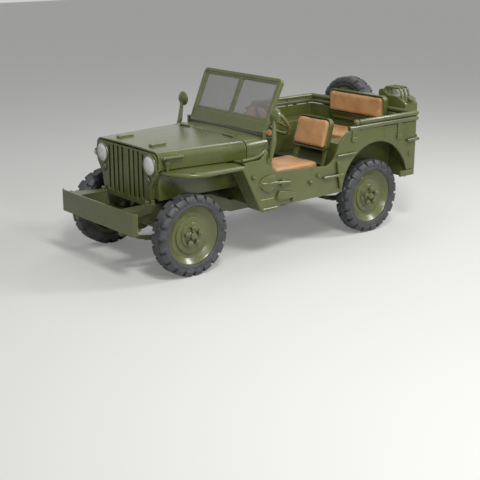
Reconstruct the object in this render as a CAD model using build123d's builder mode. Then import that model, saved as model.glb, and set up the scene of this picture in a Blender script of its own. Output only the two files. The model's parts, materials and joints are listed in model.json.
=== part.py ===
"""A light open army 4x4 car with a folding windshield, opening hood, steered front wheels,
spare wheel and fuel can. Millimetres, +X forward, +Y left, +Z up, the origin on the ground
below the middle of its length."""
import os
from math import cos, radians, sin

from build123d import *

os.makedirs("parts", exist_ok=True)

# Driving dimensions
WHEELBASE = 2032.0
TRACK = 1200.0
FRONT_REACH = 496.0   # front axle to the bumper's face
REAR_REACH = 2760.0   # front axle to the back of the spare wheel
TYRE_RADIUS = 335.0
TYRE_HALF = 78.0
TREAD_HALF = 56.0
RIM_LIP = 240.0
RIM_HALF = 52.0
BARREL = 214.0
BEAD = 40.0           # tyre bead's outer edge from the wheel's middle plane
DISC_FACE = 18.0      # wheel disc ahead of the wheel's middle plane
HUB_BORE = 28.3
KINGPIN_Y = 515.0
BALL_R = 58.0
ARM_LENGTH = 165.0
STEER_LIFT = 45.0     # tie rod above the axle
AXLE_TUBE = 38.0
DIFF_Y = -120.0
BODY_HALF = 704.0
WALL = 24.0
BODY_TOP = 976.0
BODY_LOW = 453.0
REAR_LOW = 530.0
BODY_BACK = 2556.0    # front axle to the rear panel's outer face
FLOOR_TOP = 490.0
FLOOR_T = 20.0
BED_TOP = 590.0
RAIL_Y = 325.0
RAIL_W = 60.0
RAIL_H = 100.0
HORN_LOW = 435.0
HORN_TOP = 560.0
FENDER_OUT = 31.0     # fender beyond the body's side
FENDER_TOP = 850.0
HOOD_GAP = 6.0
HOOD_FRONT = 180.0    # ahead of the front axle
HOOD_BACK = 634.0     # behind the front axle
HOOD_FRONT_HALF = 450.0
HOOD_REAR_HALF = 545.0
HOOD_T = 14.0
HOOD_FRONT_EDGE = 1000.0
HOOD_REAR_EDGE = 1002.0
HOOD_FRONT_RISE = 8.0
HOOD_REAR_RISE = 16.0
HOOD_FRONT_CORNER = 60.0
HOOD_REAR_CORNER = 70.0
COWL_EDGE = 1008.0
COWL_RISE = 12.0
SILL_TOP = 1033.0     # the seal under the windshield
COWL_FRONT = 646.0
COWL_BACK = 862.0
GRILLE_FACE = 195.0
GRILLE_T = 42.0
LAMP_Y = 344.0
LAMP_Z = 884.0
LAMP_R = 80.0
SLOT_W = 30.0
SLOT_PITCH = 65.0
SLOT_MIDDLE = 98.0    # between the two groups of grille slots
BUMPER_T = 12.0
BUMPER_LOW = 390.0
BUMPER_H = 182.0
HORN_SPREAD = 115.0   # flare of a frame horn at the bumper
SHIELD_X = 850.0      # windshield hinge behind the front axle
SHIELD_Z = 1048.0
SHIELD_LEAN = 24.6
SHIELD_H = 470.0
SHIELD_LOW_HALF = 503.0
SHIELD_TOP_HALF = 525.0
SHIELD_T = 36.0
GLASS_LOW = 112.0
GLASS_TOP = 428.0
WHEEL_X = 1120.0      # steering wheel hub behind the front axle
WHEEL_Y = 320.0
WHEEL_Z = 1100.0
WHEEL_R = 177.0
WHEEL_GRIP = 16.0
COLUMN_DIP = 40.0
COLUMN_R = 24.0
SEAT_Y = 350.0
SEAT_W = 420.0
ARCH_R = 430.0
ARCH_Z = 420.0
HOUSE_IN = 450.0      # inner face of a wheel house
SPARE_Y = -285.0
SPARE_Z = 938.0
CAN_Y = 362.0
CAN_W = 345.0
CAN_T = 165.0
CAN_H = 470.0
LUGS = 20
LUG_GAP = 18.0
NUT_CIRCLE = 67.0
NUT_R = 16.0

FA = (REAR_REACH - FRONT_REACH) / 2
RA = FA - WHEELBASE
AXLE_Z = TYRE_RADIUS
BACK_X = FA - BODY_BACK
WHEEL_CENTRE = TRACK / 2
FENDER_HALF = BODY_HALF + FENDER_OUT
RAIL_OUT = RAIL_Y + RAIL_W / 2
SPRING_TOP = AXLE_Z - AXLE_TUBE - 8.0
TIE_Z = AXLE_Z + STEER_LIFT


def finish(builder, name):
    """Label a finished piece and write it."""
    builder.part.label = name
    export_step(builder.part, f"parts/{name}.step")


def rod(start, end, radius, mode=Mode.ADD):
    """A round bar between two points of the part being built."""
    a, b = Vector(*start), Vector(*end)
    with Locations(Plane(origin=(a + b) / 2, z_dir=b - a)):
        Cylinder(radius, (b - a).length, mode=mode)


def block(x0, x1, y0, y1, z0, z1, mode=Mode.ADD):
    """A box between two corners of the part being built."""
    with Locations(((x0 + x1) / 2, (y0 + y1) / 2, (z0 + z1) / 2)):
        Box(abs(x1 - x0), abs(y1 - y0), abs(z1 - z0), mode=mode)


def plate(points, radii, plane, amount, mode=Mode.ADD):
    """A plate with rounded corners from an outline in a plane."""
    with BuildSketch(plane) as outline:
        with BuildLine():
            FilletPolyline(*points, radius=radii, close=True)
        make_face()
    extrude(outline.sketch, amount=amount, mode=mode)


def mirrored(builder, name):
    """The right-hand twin of a left-hand piece."""
    with BuildPart() as twin:
        mirror(builder.part, about=Plane.XZ)
    finish(twin, name)
    return twin


# Ladder frame: two side rails with raised front horns that flare to the bumper, and cross members
HORN_TIP = FA + FRONT_REACH - BUMPER_T
rail_side = [
    (HORN_TIP, HORN_LOW), (HORN_TIP, HORN_TOP), (FA - 400, HORN_TOP),
    (FA - 620, FLOOR_TOP - FLOOR_T), (BACK_X + WALL, FLOOR_TOP - FLOOR_T), (BACK_X + WALL, 400),
    (RA + 500, 400), (RA + 620, FLOOR_TOP - FLOOR_T - RAIL_H), (FA - 620, FLOOR_TOP - FLOOR_T - RAIL_H),
    (FA - 400, HORN_LOW),
]
CROSS_MEMBERS = [  # x, depth, low, high
    (FA + 400, 60, 460, 520), (FA - 430, 60, 437, 476), (FA - 1240, 60, 390, 445),
    (RA + 230, 60, 405, 465), (BACK_X + 60, 60, 402, 468),
]
HORN_FLARES = [  # back of a flare, its reach there, inner edge, low, high
    (FA + 200, 10, -20, HORN_TOP - 58, HORN_TOP), (FA + 400, 84, 4, BUMPER_LOW + 18, HORN_TOP - 58),
]
with BuildPart() as frame_rails:
    for side in (1, -1):
        with BuildSketch(Plane.XZ.offset(-side * RAIL_Y)) as rail:
            with BuildLine():
                Polyline(*rail_side, close=True)
            make_face()
        extrude(rail.sketch, amount=RAIL_W / 2, both=True)
        for back, reach, inner, low, high in HORN_FLARES:
            flare = [(HORN_TIP, inner), (HORN_TIP, HORN_SPREAD), (back, reach), (back, inner)]
            with BuildSketch(Plane.XY.offset(low)) as plan:
                with BuildLine():
                    Polyline(*[(x, side * (RAIL_OUT + y)) for x, y in flare], close=True)
                make_face()
            extrude(plan.sketch, amount=high - low)
    for x, depth, low, high in CROSS_MEMBERS:
        block(x - depth / 2, x + depth / 2, -RAIL_Y, RAIL_Y, low, high)
finish(frame_rails, "frame_rails")

# Front bumper: a plate with its ends bent back and its lower corners rounded
BUMPER_BEND = 524.0
bumper_plan = [  # x behind the face, y
    (BUMPER_T, 6 - BUMPER_BEND), (BUMPER_T, BUMPER_BEND - 6), (35, BUMPER_BEND + 32), (24, BUMPER_BEND + 38),
    (0, BUMPER_BEND), (0, -BUMPER_BEND), (24, -BUMPER_BEND - 38), (35, -BUMPER_BEND - 32),
]
with BuildPart() as front_bumper:
    plate([(FA + FRONT_REACH - x, y) for x, y in bumper_plan], [18, 18, 2, 2, 30, 30, 2, 2],
          Plane.XY.offset(BUMPER_LOW), BUMPER_H)
    end, top = BUMPER_BEND + 40, BUMPER_LOW + BUMPER_H
    plate([(-end, BUMPER_LOW), (end, BUMPER_LOW), (end, top), (-end, top)], [38, 38, 4, 4],
          Plane.YZ.offset(FA + FRONT_REACH - 50), 60, mode=Mode.INTERSECT)
    for side in (1, -1):
        y = side * (RAIL_OUT + HORN_SPREAD + 8)
        block(HORN_TIP - 60, HORN_TIP, y, y + side * 14, BUMPER_LOW + 20, BUMPER_LOW + BUMPER_H - 14)
        block(HORN_TIP - 96, HORN_TIP - 60, y - side * 30, y + side * 14, BUMPER_LOW + 20, BUMPER_LOW + 34)
finish(front_bumper, "front_bumper")

# Rear bumperettes: a plate bent round each lower corner of the body
with BuildPart() as rear_bumperettes:
    for side in (1, -1):
        out, low, high = BODY_HALF + 12, 475.0, REAR_LOW - 2
        bent = [(BACK_X + 196, out - 26), (BACK_X + 196, out), (BACK_X - 14, out), (BACK_X - 14, 500),
                (BACK_X + 12, 500), (BACK_X + 12, out - 26)]
        plate([(x, side * y) for x, y in bent], [6, 10, 46, 6, 6, 20], Plane.XY.offset(low), high - low)
        block(BACK_X - 2, BACK_X + 20, side * 560, side * 600, high - 2, REAR_LOW)
finish(rear_bumperettes, "rear_bumperettes")

# Axles: tube, differential, pinion nose and spring pads; the front one ends in steering balls
AXLES = [  # name, x, tube half length, ends, pinion end
    ("front_axle", FA, KINGPIN_Y - 20, "ball", -1), ("rear_axle", RA, 560.0, "stub", 1),
]
for name, x, half, ends, nose in AXLES:
    with BuildPart() as axle:
        rod((x, -half, AXLE_Z), (x, half, AXLE_Z), AXLE_TUBE)
        with Locations((x, DIFF_Y, AXLE_Z)):
            Sphere(112)
        rod((x, DIFF_Y, AXLE_Z), (x + nose * 165, DIFF_Y, AXLE_Z), 48)
        for side in (1, -1):
            block(x - 30, x + 30, side * (RAIL_Y - 24), side * (RAIL_Y + 24), SPRING_TOP, AXLE_Z)
            if ends == "ball":
                with Locations((x, side * KINGPIN_Y, AXLE_Z)):
                    Sphere(BALL_R)
            else:
                rod((x, side * half, AXLE_Z), (x, side * (WHEEL_CENTRE + 30), AXLE_Z), HUB_BORE - 0.3)
    finish(axle, name)

# Leaf springs: curved leaves under each axle, with eyes and hangers to the rails
LEAF_T = 8.0
LEAVES = [460, 400, 330, 260, 190]
SPRING_RISE = 80.0
bend = (LEAVES[0] ** 2 + SPRING_RISE ** 2) / (2 * SPRING_RISE)
HANGERS = [(FA, HORN_LOW, 412.0), (RA, 400.0, 400.0)]  # axle, rail above the front and back eyes
with BuildPart() as leaf_springs:
    for x, front_rail, rear_rail in HANGERS:
        for side in (1, -1):
            for i, half in enumerate(LEAVES):
                plane = Plane(origin=(x, side * RAIL_Y, SPRING_TOP - 0.6 + bend), x_dir=(1, 0, 0), z_dir=(0, -1, 0))
                with BuildSketch(plane) as leaf:
                    Circle(bend + (i + 1) * LEAF_T)
                    Circle(bend + i * LEAF_T, mode=Mode.SUBTRACT)
                    with Locations((0, -bend)):
                        Rectangle(2 * half, 400, mode=Mode.INTERSECT)
                extrude(leaf.sketch, amount=22, both=True)
            block(x - 50, x + 50, side * (RAIL_Y - 28), side * (RAIL_Y + 28), SPRING_TOP - 52, SPRING_TOP - 36)
            for end, rail in ((1, front_rail), (-1, rear_rail)):
                eye = (x + end * (LEAVES[0] + 2), side * RAIL_Y, SPRING_TOP + SPRING_RISE)
                rod((eye[0], eye[1] - 24, eye[2]), (eye[0], eye[1] + 24, eye[2]), 20)
                block(eye[0] - 14, eye[0] + 14, eye[1] - 24, eye[1] + 24, eye[2], rail)
finish(leaf_springs, "leaf_springs")

# Engine, gearbox with transfer case, and the two drive shafts
with BuildPart() as engine:
    block(FA - 620, FA - 40, -190, 190, 480, 880)
    block(FA - 560, FA - 100, -110, 110, 880, 940)
finish(engine, "engine")
with BuildPart() as gearbox:
    block(FA - 1000, FA - 560, -60, 140, 310, 466)
    block(FA - 620, FA - 560, -60, 140, 466, 480)
    block(FA - 1180, FA - 1000, -185, 140, 300, 464)
finish(gearbox, "gearbox")
SHAFTS = [(FA - 165, FA - 1000), (FA - 1180, RA + 165)]
with BuildPart() as prop_shafts:
    for front, back in SHAFTS:
        rod((front, DIFF_Y, AXLE_Z), (back, DIFF_Y, AXLE_Z), 26)
        for x in (front - 30, back + 30):
            rod((x - 30, DIFF_Y, AXLE_Z), (x + 30, DIFF_Y, AXLE_Z), 40)
finish(prop_shafts, "prop_shafts")

# Exhaust: pipe from the engine, silencer and tail pipe under the right side
with BuildPart() as exhaust:
    rod((FA - 520, -230, 320), (FA - 1272, -230, 320), 22)
    rod((FA - 520, -230, 312), (FA - 520, -230, 640), 22)
    rod((FA - 520, -240, 620), (FA - 520, -190, 620), 30)
    rod((FA - 1250, -230, 320), (FA - 1250, -560, 360), 22)
    rod((FA - 1000, -560, 400), (FA - 1420, -560, 400), 62)
    rod((FA - 1420, -560, 400), (FA - 1500, -640, 380), 22)
    block(FA - 1230, FA - 1200, -570, -550, 440, FLOOR_TOP - FLOOR_T)
finish(exhaust, "exhaust")

# Radiator behind the grille
with BuildPart() as radiator:
    block(FA + 95, FA + GRILLE_FACE - GRILLE_T, -262, 262, 575, 955)
    block(FA + 95, FA + 130, 30 - RAIL_Y, RAIL_Y - 30, 545, 590)
finish(radiator, "radiator")

# Grille: a tapering plate with two groups of four tall slots, lamp holes and feet bolted to the horns
SLOTS = [side * (SLOT_MIDDLE / 2 + SLOT_PITCH * i) for side in (-1, 1) for i in range(4)]
SLOT_LOW = 578.0
SLOT_HIGH = 974.0
grille_half = [(265, 541), (338, 590), (360, 705), (434, 815), (434, 982)]
grille_side = grille_half + [(-y, z) for y, z in reversed(grille_half)]
grille_radii = [30, 40, 60, 70, 55]
with BuildPart() as grille:
    plate(grille_side, grille_radii + grille_radii[::-1], Plane.YZ.offset(FA + GRILLE_FACE - GRILLE_T), GRILLE_T)
    with BuildSketch(Plane.YZ.offset(FA + GRILLE_FACE)) as slots:
        for y in SLOTS:
            trim = 12 if abs(y) == max(SLOTS) else 0
            with Locations((y, (SLOT_LOW + SLOT_HIGH) / 2)):
                SlotOverall(SLOT_HIGH - SLOT_LOW - 2 * trim, SLOT_W, rotation=90)
    extrude(slots.sketch, amount=-GRILLE_T, mode=Mode.SUBTRACT)
    with BuildSketch(Plane.YZ.offset(FA + GRILLE_FACE)) as holes:
        with Locations((LAMP_Y, LAMP_Z), (-LAMP_Y, LAMP_Z)):
            Circle(LAMP_R + 0.3)
    extrude(holes.sketch, amount=-GRILLE_T, mode=Mode.SUBTRACT)
    for side in (1, -1):
        y, back, ahead = side * RAIL_Y, FA + GRILLE_FACE - GRILLE_T, FA + GRILLE_FACE + 16
        block(back, FA + GRILLE_FACE - 8, side * (RAIL_Y - 45), side * (RAIL_Y + 20), HORN_TOP, HORN_TOP + 34)
        block(back, FA + GRILLE_FACE + 30, side * (RAIL_Y - 25), side * (RAIL_Y + 25), HORN_TOP, HORN_TOP + 8)
        rod((ahead, y, HORN_TOP), (ahead, y, HORN_TOP + 26), 12)
        rod((ahead, y - 22, HORN_TOP + 25), (ahead, y + 22, HORN_TOP + 25), 8)
finish(grille, "grille")

# Head lamps with domed lenses in the grille, and oval marker lamps below them
MARKER_Y = 320.0
MARKER_Z = LAMP_Z - LAMP_R - 44
LENS_R = LAMP_R - 4
LENS_RISE = 12.0
lamp_plane = Plane(origin=(FA + GRILLE_FACE, LAMP_Y, LAMP_Z), x_dir=(0, 0, 1), z_dir=(0, 1, 0))
with BuildPart() as lamps:
    with BuildSketch(lamp_plane) as bowl:
        with BuildLine():
            Polyline((0, 12 + LENS_RISE), (0, -GRILLE_T), (LAMP_R, -GRILLE_T), (LAMP_R, 0), (LAMP_R + 8, 0),
                     (LAMP_R + 8, 8), (LENS_R, 12))
            RadiusArc((LENS_R, 12), (0, 12 + LENS_RISE), -(LENS_R ** 2 + LENS_RISE ** 2) / (2 * LENS_RISE))
        make_face()
    revolve(bowl.sketch, axis=Axis((FA, LAMP_Y, LAMP_Z), (1, 0, 0)))
    with BuildSketch(Plane.YZ.offset(FA + GRILLE_FACE)) as marker:
        with Locations((MARKER_Y, MARKER_Z)):
            Ellipse(29, 34)
    extrude(marker.sketch, amount=16)
    mirror(lamps.part, about=Plane.XZ)
finish(lamps, "lamps")

# Floor: the front floor, the raised rear bed and the riser between them
BED_FRONT = FA - 1800
HOUSE_FRONT = RA + ARCH_R + 10
SIDE_IN = BODY_HALF - WALL
SEAT_PIVOT = FA - 980
with BuildPart() as floor:
    block(HOUSE_FRONT, FA - COWL_FRONT - 16, -SIDE_IN, SIDE_IN, FLOOR_TOP - FLOOR_T, FLOOR_TOP)
    block(BED_FRONT, HOUSE_FRONT, -HOUSE_IN, HOUSE_IN, FLOOR_TOP - FLOOR_T, FLOOR_TOP)
    block(BED_FRONT - FLOOR_T, BED_FRONT, -HOUSE_IN, HOUSE_IN, FLOOR_TOP - FLOOR_T, BED_TOP)
    block(BACK_X + WALL, BED_FRONT, -HOUSE_IN, HOUSE_IN, BED_TOP - FLOOR_T, BED_TOP)
    for y in (-SEAT_Y - 200, 200 - SEAT_Y, SEAT_Y - 200, SEAT_Y + 200):
        block(SEAT_PIVOT - 26, SEAT_PIVOT + 26, y - 6, y + 6, FLOOR_TOP, FLOOR_TOP + 42)
        rod((SEAT_PIVOT, y - 7, FLOOR_TOP + 20), (SEAT_PIVOT, y + 7, FLOOR_TOP + 20), 14.3, mode=Mode.SUBTRACT)
finish(floor, "floor")

# Wheel houses: open boxes over the rear tyres
with BuildPart() as wheel_houses:
    for side in (1, -1):
        front, back = HOUSE_FRONT, RA - ARCH_R - 10
        block(back, front, side * HOUSE_IN, side * SIDE_IN, 455, 875)
        block(back + 12, front - 12, side * (HOUSE_IN + 12), side * SIDE_IN, 455, 863, mode=Mode.SUBTRACT)
finish(wheel_houses, "wheel_houses")

# Side panels: low door opening with a curved back edge, wheel arch, and a shoulder to the cowl
SHOULDER_LOW = 838.0
SHOULDER_TOP = 862.0
side_outline = [
    (FA - 670, BODY_LOW), (FA - 480, SHOULDER_TOP), (FA - 650, SHOULDER_TOP + 8), (FA - 740, 936),
    (FA - 800, 748), (FA - 1425, 708), (FA - 1500, 740), (FA - 1560, 880), (FA - 1660, BODY_TOP),
    (BACK_X, BODY_TOP), (BACK_X, REAR_LOW), (RA - 300, REAR_LOW), (RA - 300, BODY_LOW),
]
side_radii = [2, 2, 30, 14, 60, 40, 120, 200, 60, 12, 12, 2, 2]
RIDGE_R = 13.0
ridge = [(FA - 600, 606, SHOULDER_TOP), (FA - 668, 652, SHOULDER_TOP + 14), (FA - 728, BODY_HALF - 14, 924)]
with BuildPart() as side_panel_left:
    plate(side_outline, side_radii, Plane.XZ.offset(-BODY_HALF), WALL)
    with BuildSketch(Plane.XZ.offset(-BODY_HALF)) as arch:
        with Locations((RA, ARCH_Z)):
            Circle(ARCH_R)
    extrude(arch.sketch, amount=WALL, mode=Mode.SUBTRACT)
    block(FA - COWL_BACK + 110, FA - 500, HOOD_REAR_HALF, SIDE_IN + 2, SHOULDER_LOW, SHOULDER_TOP)
    for start, end in ((ridge[0], ridge[1]), (ridge[1], ridge[2])):
        rod(start, end, RIDGE_R)
    with Locations(*ridge):
        Sphere(RIDGE_R)
finish(side_panel_left, "side_panel_left")
mirrored(side_panel_left, "side_panel_right")

# Rear panel with the can tray and the spare wheel's carrier
CAN_X = BACK_X - 34 - CAN_T / 2
CAN_LOW = 752.0
TAIL_Y = 590.0
SPARE_X = FA - REAR_REACH + TYRE_HALF
with BuildPart() as rear_panel:
    block(BACK_X, BACK_X + WALL, -SIDE_IN, SIDE_IN, REAR_LOW, BODY_TOP)
    block(CAN_X - CAN_T / 2 - 8, BACK_X, CAN_Y - CAN_W / 2 - 10, CAN_Y + CAN_W / 2 + 10, CAN_LOW - 12, CAN_LOW)
    block(CAN_X - CAN_T / 2 - 8, CAN_X - CAN_T / 2 - 1, CAN_Y - CAN_W / 2 - 10, CAN_Y + CAN_W / 2 + 10,
          CAN_LOW - 12, CAN_LOW + 50)
    block(BACK_X - 33, BACK_X, CAN_Y - 60, CAN_Y + 60, CAN_LOW + 120, CAN_LOW + 200)
    for y in (-TAIL_Y, TAIL_Y):
        rod((BACK_X - 26, y, 640), (BACK_X, y, 640), 36)
    rod((BACK_X, SPARE_Y, SPARE_Z - 60), (SPARE_X + 40, SPARE_Y, SPARE_Z - 60), 18)
    rod((BACK_X, SPARE_Y, SPARE_Z), (SPARE_X + 42, SPARE_Y, SPARE_Z), 45)
    rod((SPARE_X + 44, SPARE_Y, SPARE_Z), (SPARE_X - 30, SPARE_Y, SPARE_Z), HUB_BORE - 0.3)
finish(rear_panel, "rear_panel")

# Tow hitch on the rear cross member: a closed eye for a trailer ring
HITCH_Z = 440.0
HITCH_X = BACK_X - 75
with BuildPart() as tow_hitch:
    block(BACK_X + 10, BACK_X + 30, -70, 70, 405, 465)
    block(HITCH_X, BACK_X + 12, -20, 20, HITCH_Z - 22, HITCH_Z + 22)
    rod((HITCH_X, -20, HITCH_Z), (HITCH_X, 20, HITCH_Z), 42)
    rod((HITCH_X, -21, HITCH_Z), (HITCH_X, 21, HITCH_Z), 24, mode=Mode.SUBTRACT)
finish(tow_hitch, "tow_hitch")


def section(x, half, low, edge, crown, corner, inset=0.0):
    """A hood or cowl section across the car: sides, round corners and a crowned top."""
    h, e, c, r = half - inset, edge - inset, crown - inset, corner - inset
    s, k = h - r, r * sin(radians(45))
    with BuildSketch(Plane.YZ.offset(x)) as face:
        with BuildLine():
            Polyline((-h, e - r), (-h, low), (h, low), (h, e - r))
            ThreePointArc((h, e - r), (s + k, e - r + k), (s, e))
            ThreePointArc((s, e), (0, c), (-s, e))
            ThreePointArc((-s, e), (-s - k, e - r + k), (-h, e - r))
        make_face()
    return face.sketch


# Hood: a crowned lid hinged along its back edge, with rest blocks on top and a pull on each side
HINGE_Z = 1019.0
hood_front = (FA + HOOD_FRONT, HOOD_FRONT_HALF)
hood_back = (FA - HOOD_BACK, HOOD_REAR_HALF)
front_top = (HOOD_FRONT_EDGE, HOOD_FRONT_EDGE + HOOD_FRONT_RISE, HOOD_FRONT_CORNER)
back_top = (HOOD_REAR_EDGE, HOOD_REAR_EDGE + HOOD_REAR_RISE, HOOD_REAR_CORNER)
HOOD_LOW = FENDER_TOP + HOOD_GAP
HINGES = [-300, 300]
REST_Y = 235.0
PULL_Z = 952.0
PULL_R = 12.0
hood_flare = (HOOD_REAR_HALF - HOOD_FRONT_HALF) / (HOOD_FRONT + HOOD_BACK)
with BuildPart() as hood:
    loft([section(*hood_front, HOOD_LOW, *front_top), section(*hood_back, HOOD_LOW, *back_top)])
    loft([section(hood_front[0] + 1, hood_front[1], HOOD_LOW - 5, *front_top, HOOD_T),
          section(hood_back[0] - 1, hood_back[1], HOOD_LOW - 5, *back_top, HOOD_T)], mode=Mode.SUBTRACT)
    for y in (-REST_Y, REST_Y):
        block(FA - 40, FA + 84, y - 13, y + 13, HOOD_FRONT_EDGE - 4, HOOD_FRONT_EDGE + 22)
        rod((FA + 95, y - 26, HOOD_FRONT_EDGE + 12), (FA + 95, y + 26, HOOD_FRONT_EDGE + 12), 13)
    for side in (1, -1):
        ends = [(FA + ahead, side * (HOOD_FRONT_HALF + (HOOD_FRONT - ahead) * hood_flare)) for ahead in (146, -14)]
        for x, y in ends:
            rod((x, y - side * 6, PULL_Z), (x, y + side * 22, PULL_Z), PULL_R - 2)
        rod(*[(x, y + side * 22, PULL_Z) for x, y in ends], PULL_R)
        with Locations(*[(x, y + side * 22, PULL_Z) for x, y in ends]):
            Sphere(PULL_R + 4)
    for y in HINGES:
        for end in (1, -1):
            block(FA - HOOD_BACK - 1, FA - HOOD_BACK + 14, y + end * 40, y + end * 64, 990, 1030, mode=Mode.SUBTRACT)
        rod((FA - COWL_FRONT + 6, y - 40, HINGE_Z), (FA - COWL_FRONT + 6, y + 40, HINGE_Z), 11)
        rod((FA - COWL_FRONT + 6, y - 41, HINGE_Z), (FA - COWL_FRONT + 6, y + 41, HINGE_Z), 5.3, mode=Mode.SUBTRACT)
finish(hood, "hood")

# Cowl with the fire wall, the hood's hinge pins and the windshield's brackets
cowl_top = (COWL_EDGE, COWL_EDGE + COWL_RISE, HOOD_REAR_CORNER)
with BuildPart() as cowl:
    loft([section(FA - COWL_FRONT, HOOD_REAR_HALF, SHOULDER_LOW, *back_top),
          section(FA - COWL_BACK, HOOD_REAR_HALF, SHOULDER_LOW, *cowl_top)])
    loft([section(FA - COWL_FRONT - 16, HOOD_REAR_HALF, SHOULDER_LOW - 5, *back_top, HOOD_T),
          section(FA - COWL_BACK - 1, HOOD_REAR_HALF, SHOULDER_LOW - 5, *cowl_top, HOOD_T)],
         mode=Mode.SUBTRACT)
    block(FA - COWL_FRONT - 16, FA - COWL_FRONT, -HOOD_REAR_HALF, HOOD_REAR_HALF,
          FLOOR_TOP - FLOOR_T, SHOULDER_LOW + 2)
    for y in HINGES:
        block(FA - COWL_FRONT - 8, FA - COWL_FRONT + 1, y - 41, y + 41, 985, 1030, mode=Mode.SUBTRACT)
        for end in (1, -1):
            block(FA - COWL_FRONT - 10, FA - COWL_FRONT + 6, y + end * 41, y + end * 60, 1004, HINGE_Z)
            rod((FA - COWL_FRONT + 6, y + end * 41, HINGE_Z), (FA - COWL_FRONT + 6, y + end * 60, HINGE_Z), 10)
        rod((FA - COWL_FRONT + 6, y - 55, HINGE_Z), (FA - COWL_FRONT + 6, y + 55, HINGE_Z), 5)
    for side in (1, -1):
        y = side * (SHIELD_LOW_HALF + 16)
        block(FA - SHIELD_X - 12, FA - SHIELD_X + 18, y - 8, y + 8, 985, SHIELD_Z + 12)
        rod((FA - SHIELD_X, y - 9, SHIELD_Z), (FA - SHIELD_X, y + 9, SHIELD_Z), 8.3, mode=Mode.SUBTRACT)
    block(FA - COWL_BACK + 4, FA - COWL_BACK + 26, 4 - SHIELD_LOW_HALF, SHIELD_LOW_HALF - 4, COWL_EDGE - 8, SILL_TOP)
finish(cowl, "cowl")

# Steering column's line, from the wheel's hub down to the fire wall
dip = radians(COLUMN_DIP)
tip = Vector(-cos(dip), 0, sin(dip))
hub = Vector(FA - WHEEL_X, WHEEL_Y, WHEEL_Z)
WALL_BACK = FA - COWL_FRONT - 16
column_foot = hub - tip * ((WALL_BACK - 20 - hub.X) / cos(dip))

# Dashboard closing the back of the cowl, notched for the steering column, with five round dials
DIALS = [(-150, 24), (-75, 24), (0, 40), (75, 24), (150, 24)]  # y, radius
DIAL_Z = 962.0
with BuildPart() as dashboard:
    add(extrude(section(FA - COWL_BACK - 18, HOOD_REAR_HALF, 905, COWL_EDGE, COWL_EDGE + 6, HOOD_REAR_CORNER, 8),
                amount=18))
    rod(hub, column_foot, COLUMN_R + 1, mode=Mode.SUBTRACT)
    for y, radius in DIALS:
        rod((FA - COWL_BACK - 26, y, DIAL_Z), (FA - COWL_BACK - 10, y, DIAL_Z), radius)
finish(dashboard, "dashboard")

# Front fenders: flat top with a rounded nose and rolled lip, sloping back, a step and a hood post
fender_plan = [(FA + 148, 408), (FA + 148, 440), (FA + 200, 444), (FA + 192, 640), (FA + 60, FENDER_HALF),
               (FA - 440, FENDER_HALF), (FA - 440, 408)]
slope = [(FA - 420, FENDER_TOP), (FA - 442, FENDER_TOP), (FA - 485.5, SHOULDER_TOP - 16), (FA - 668.5, BODY_LOW),
         (FA - 835, BODY_LOW - 1), (FA - 835, BODY_LOW - 15), (FA - 650, BODY_LOW - 15), (FA - 440, 825)]
step = [(BODY_HALF + 0.3, BODY_LOW - 8), (FENDER_HALF, BODY_LOW - 8), (FENDER_HALF, BODY_LOW + 25),
        (BODY_HALF + 0.3, BODY_LOW + 82)]
POST_X = FA + 128
POST_Y = 492.0
with BuildPart() as fender_left:
    plate(fender_plan, [2, 2, 20, 90, 160, 2, 2], Plane.XY.offset(FENDER_TOP - 36), 36)
    rolled = fender_left.faces().sort_by(Axis.Z)[-1].edges()
    fillet(rolled.filter_by(lambda e: e.center().Y > 450 and e.center().X > FA - 430), 11)
    plate([(x - 12 if x > FA else x + 1, y - 14 if y > 500 else y) for x, y in fender_plan],
          [2, 2, 12, 80, 150, 2, 2], Plane.XY.offset(FENDER_TOP - 37), 23, mode=Mode.SUBTRACT)
    with BuildSketch(Plane.XZ.offset(-FENDER_HALF)) as side:
        with BuildLine():
            Polyline(*slope, close=True)
        make_face()
    extrude(side.sketch, amount=FENDER_HALF - 560)
    with BuildSketch(Plane.YZ.offset(FA - 812)) as tread:
        with BuildLine():
            Polyline(*step, close=True)
        make_face()
    extrude(tread.sketch, amount=160)
    block(FA - 640, FA + 148, 398, 410, 600, FENDER_TOP)
    block(FA - COWL_FRONT, FA - 630, 398, 570, 600, SHOULDER_LOW - 2)
    rod((POST_X, POST_Y, FENDER_TOP - 2), (POST_X, POST_Y, FENDER_TOP + 66), 11)
    rod((POST_X, POST_Y, FENDER_TOP + 56), (POST_X, POST_Y, FENDER_TOP + 76), 19)
finish(fender_left, "fender_left")
mirrored(fender_left, "fender_right")

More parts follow.
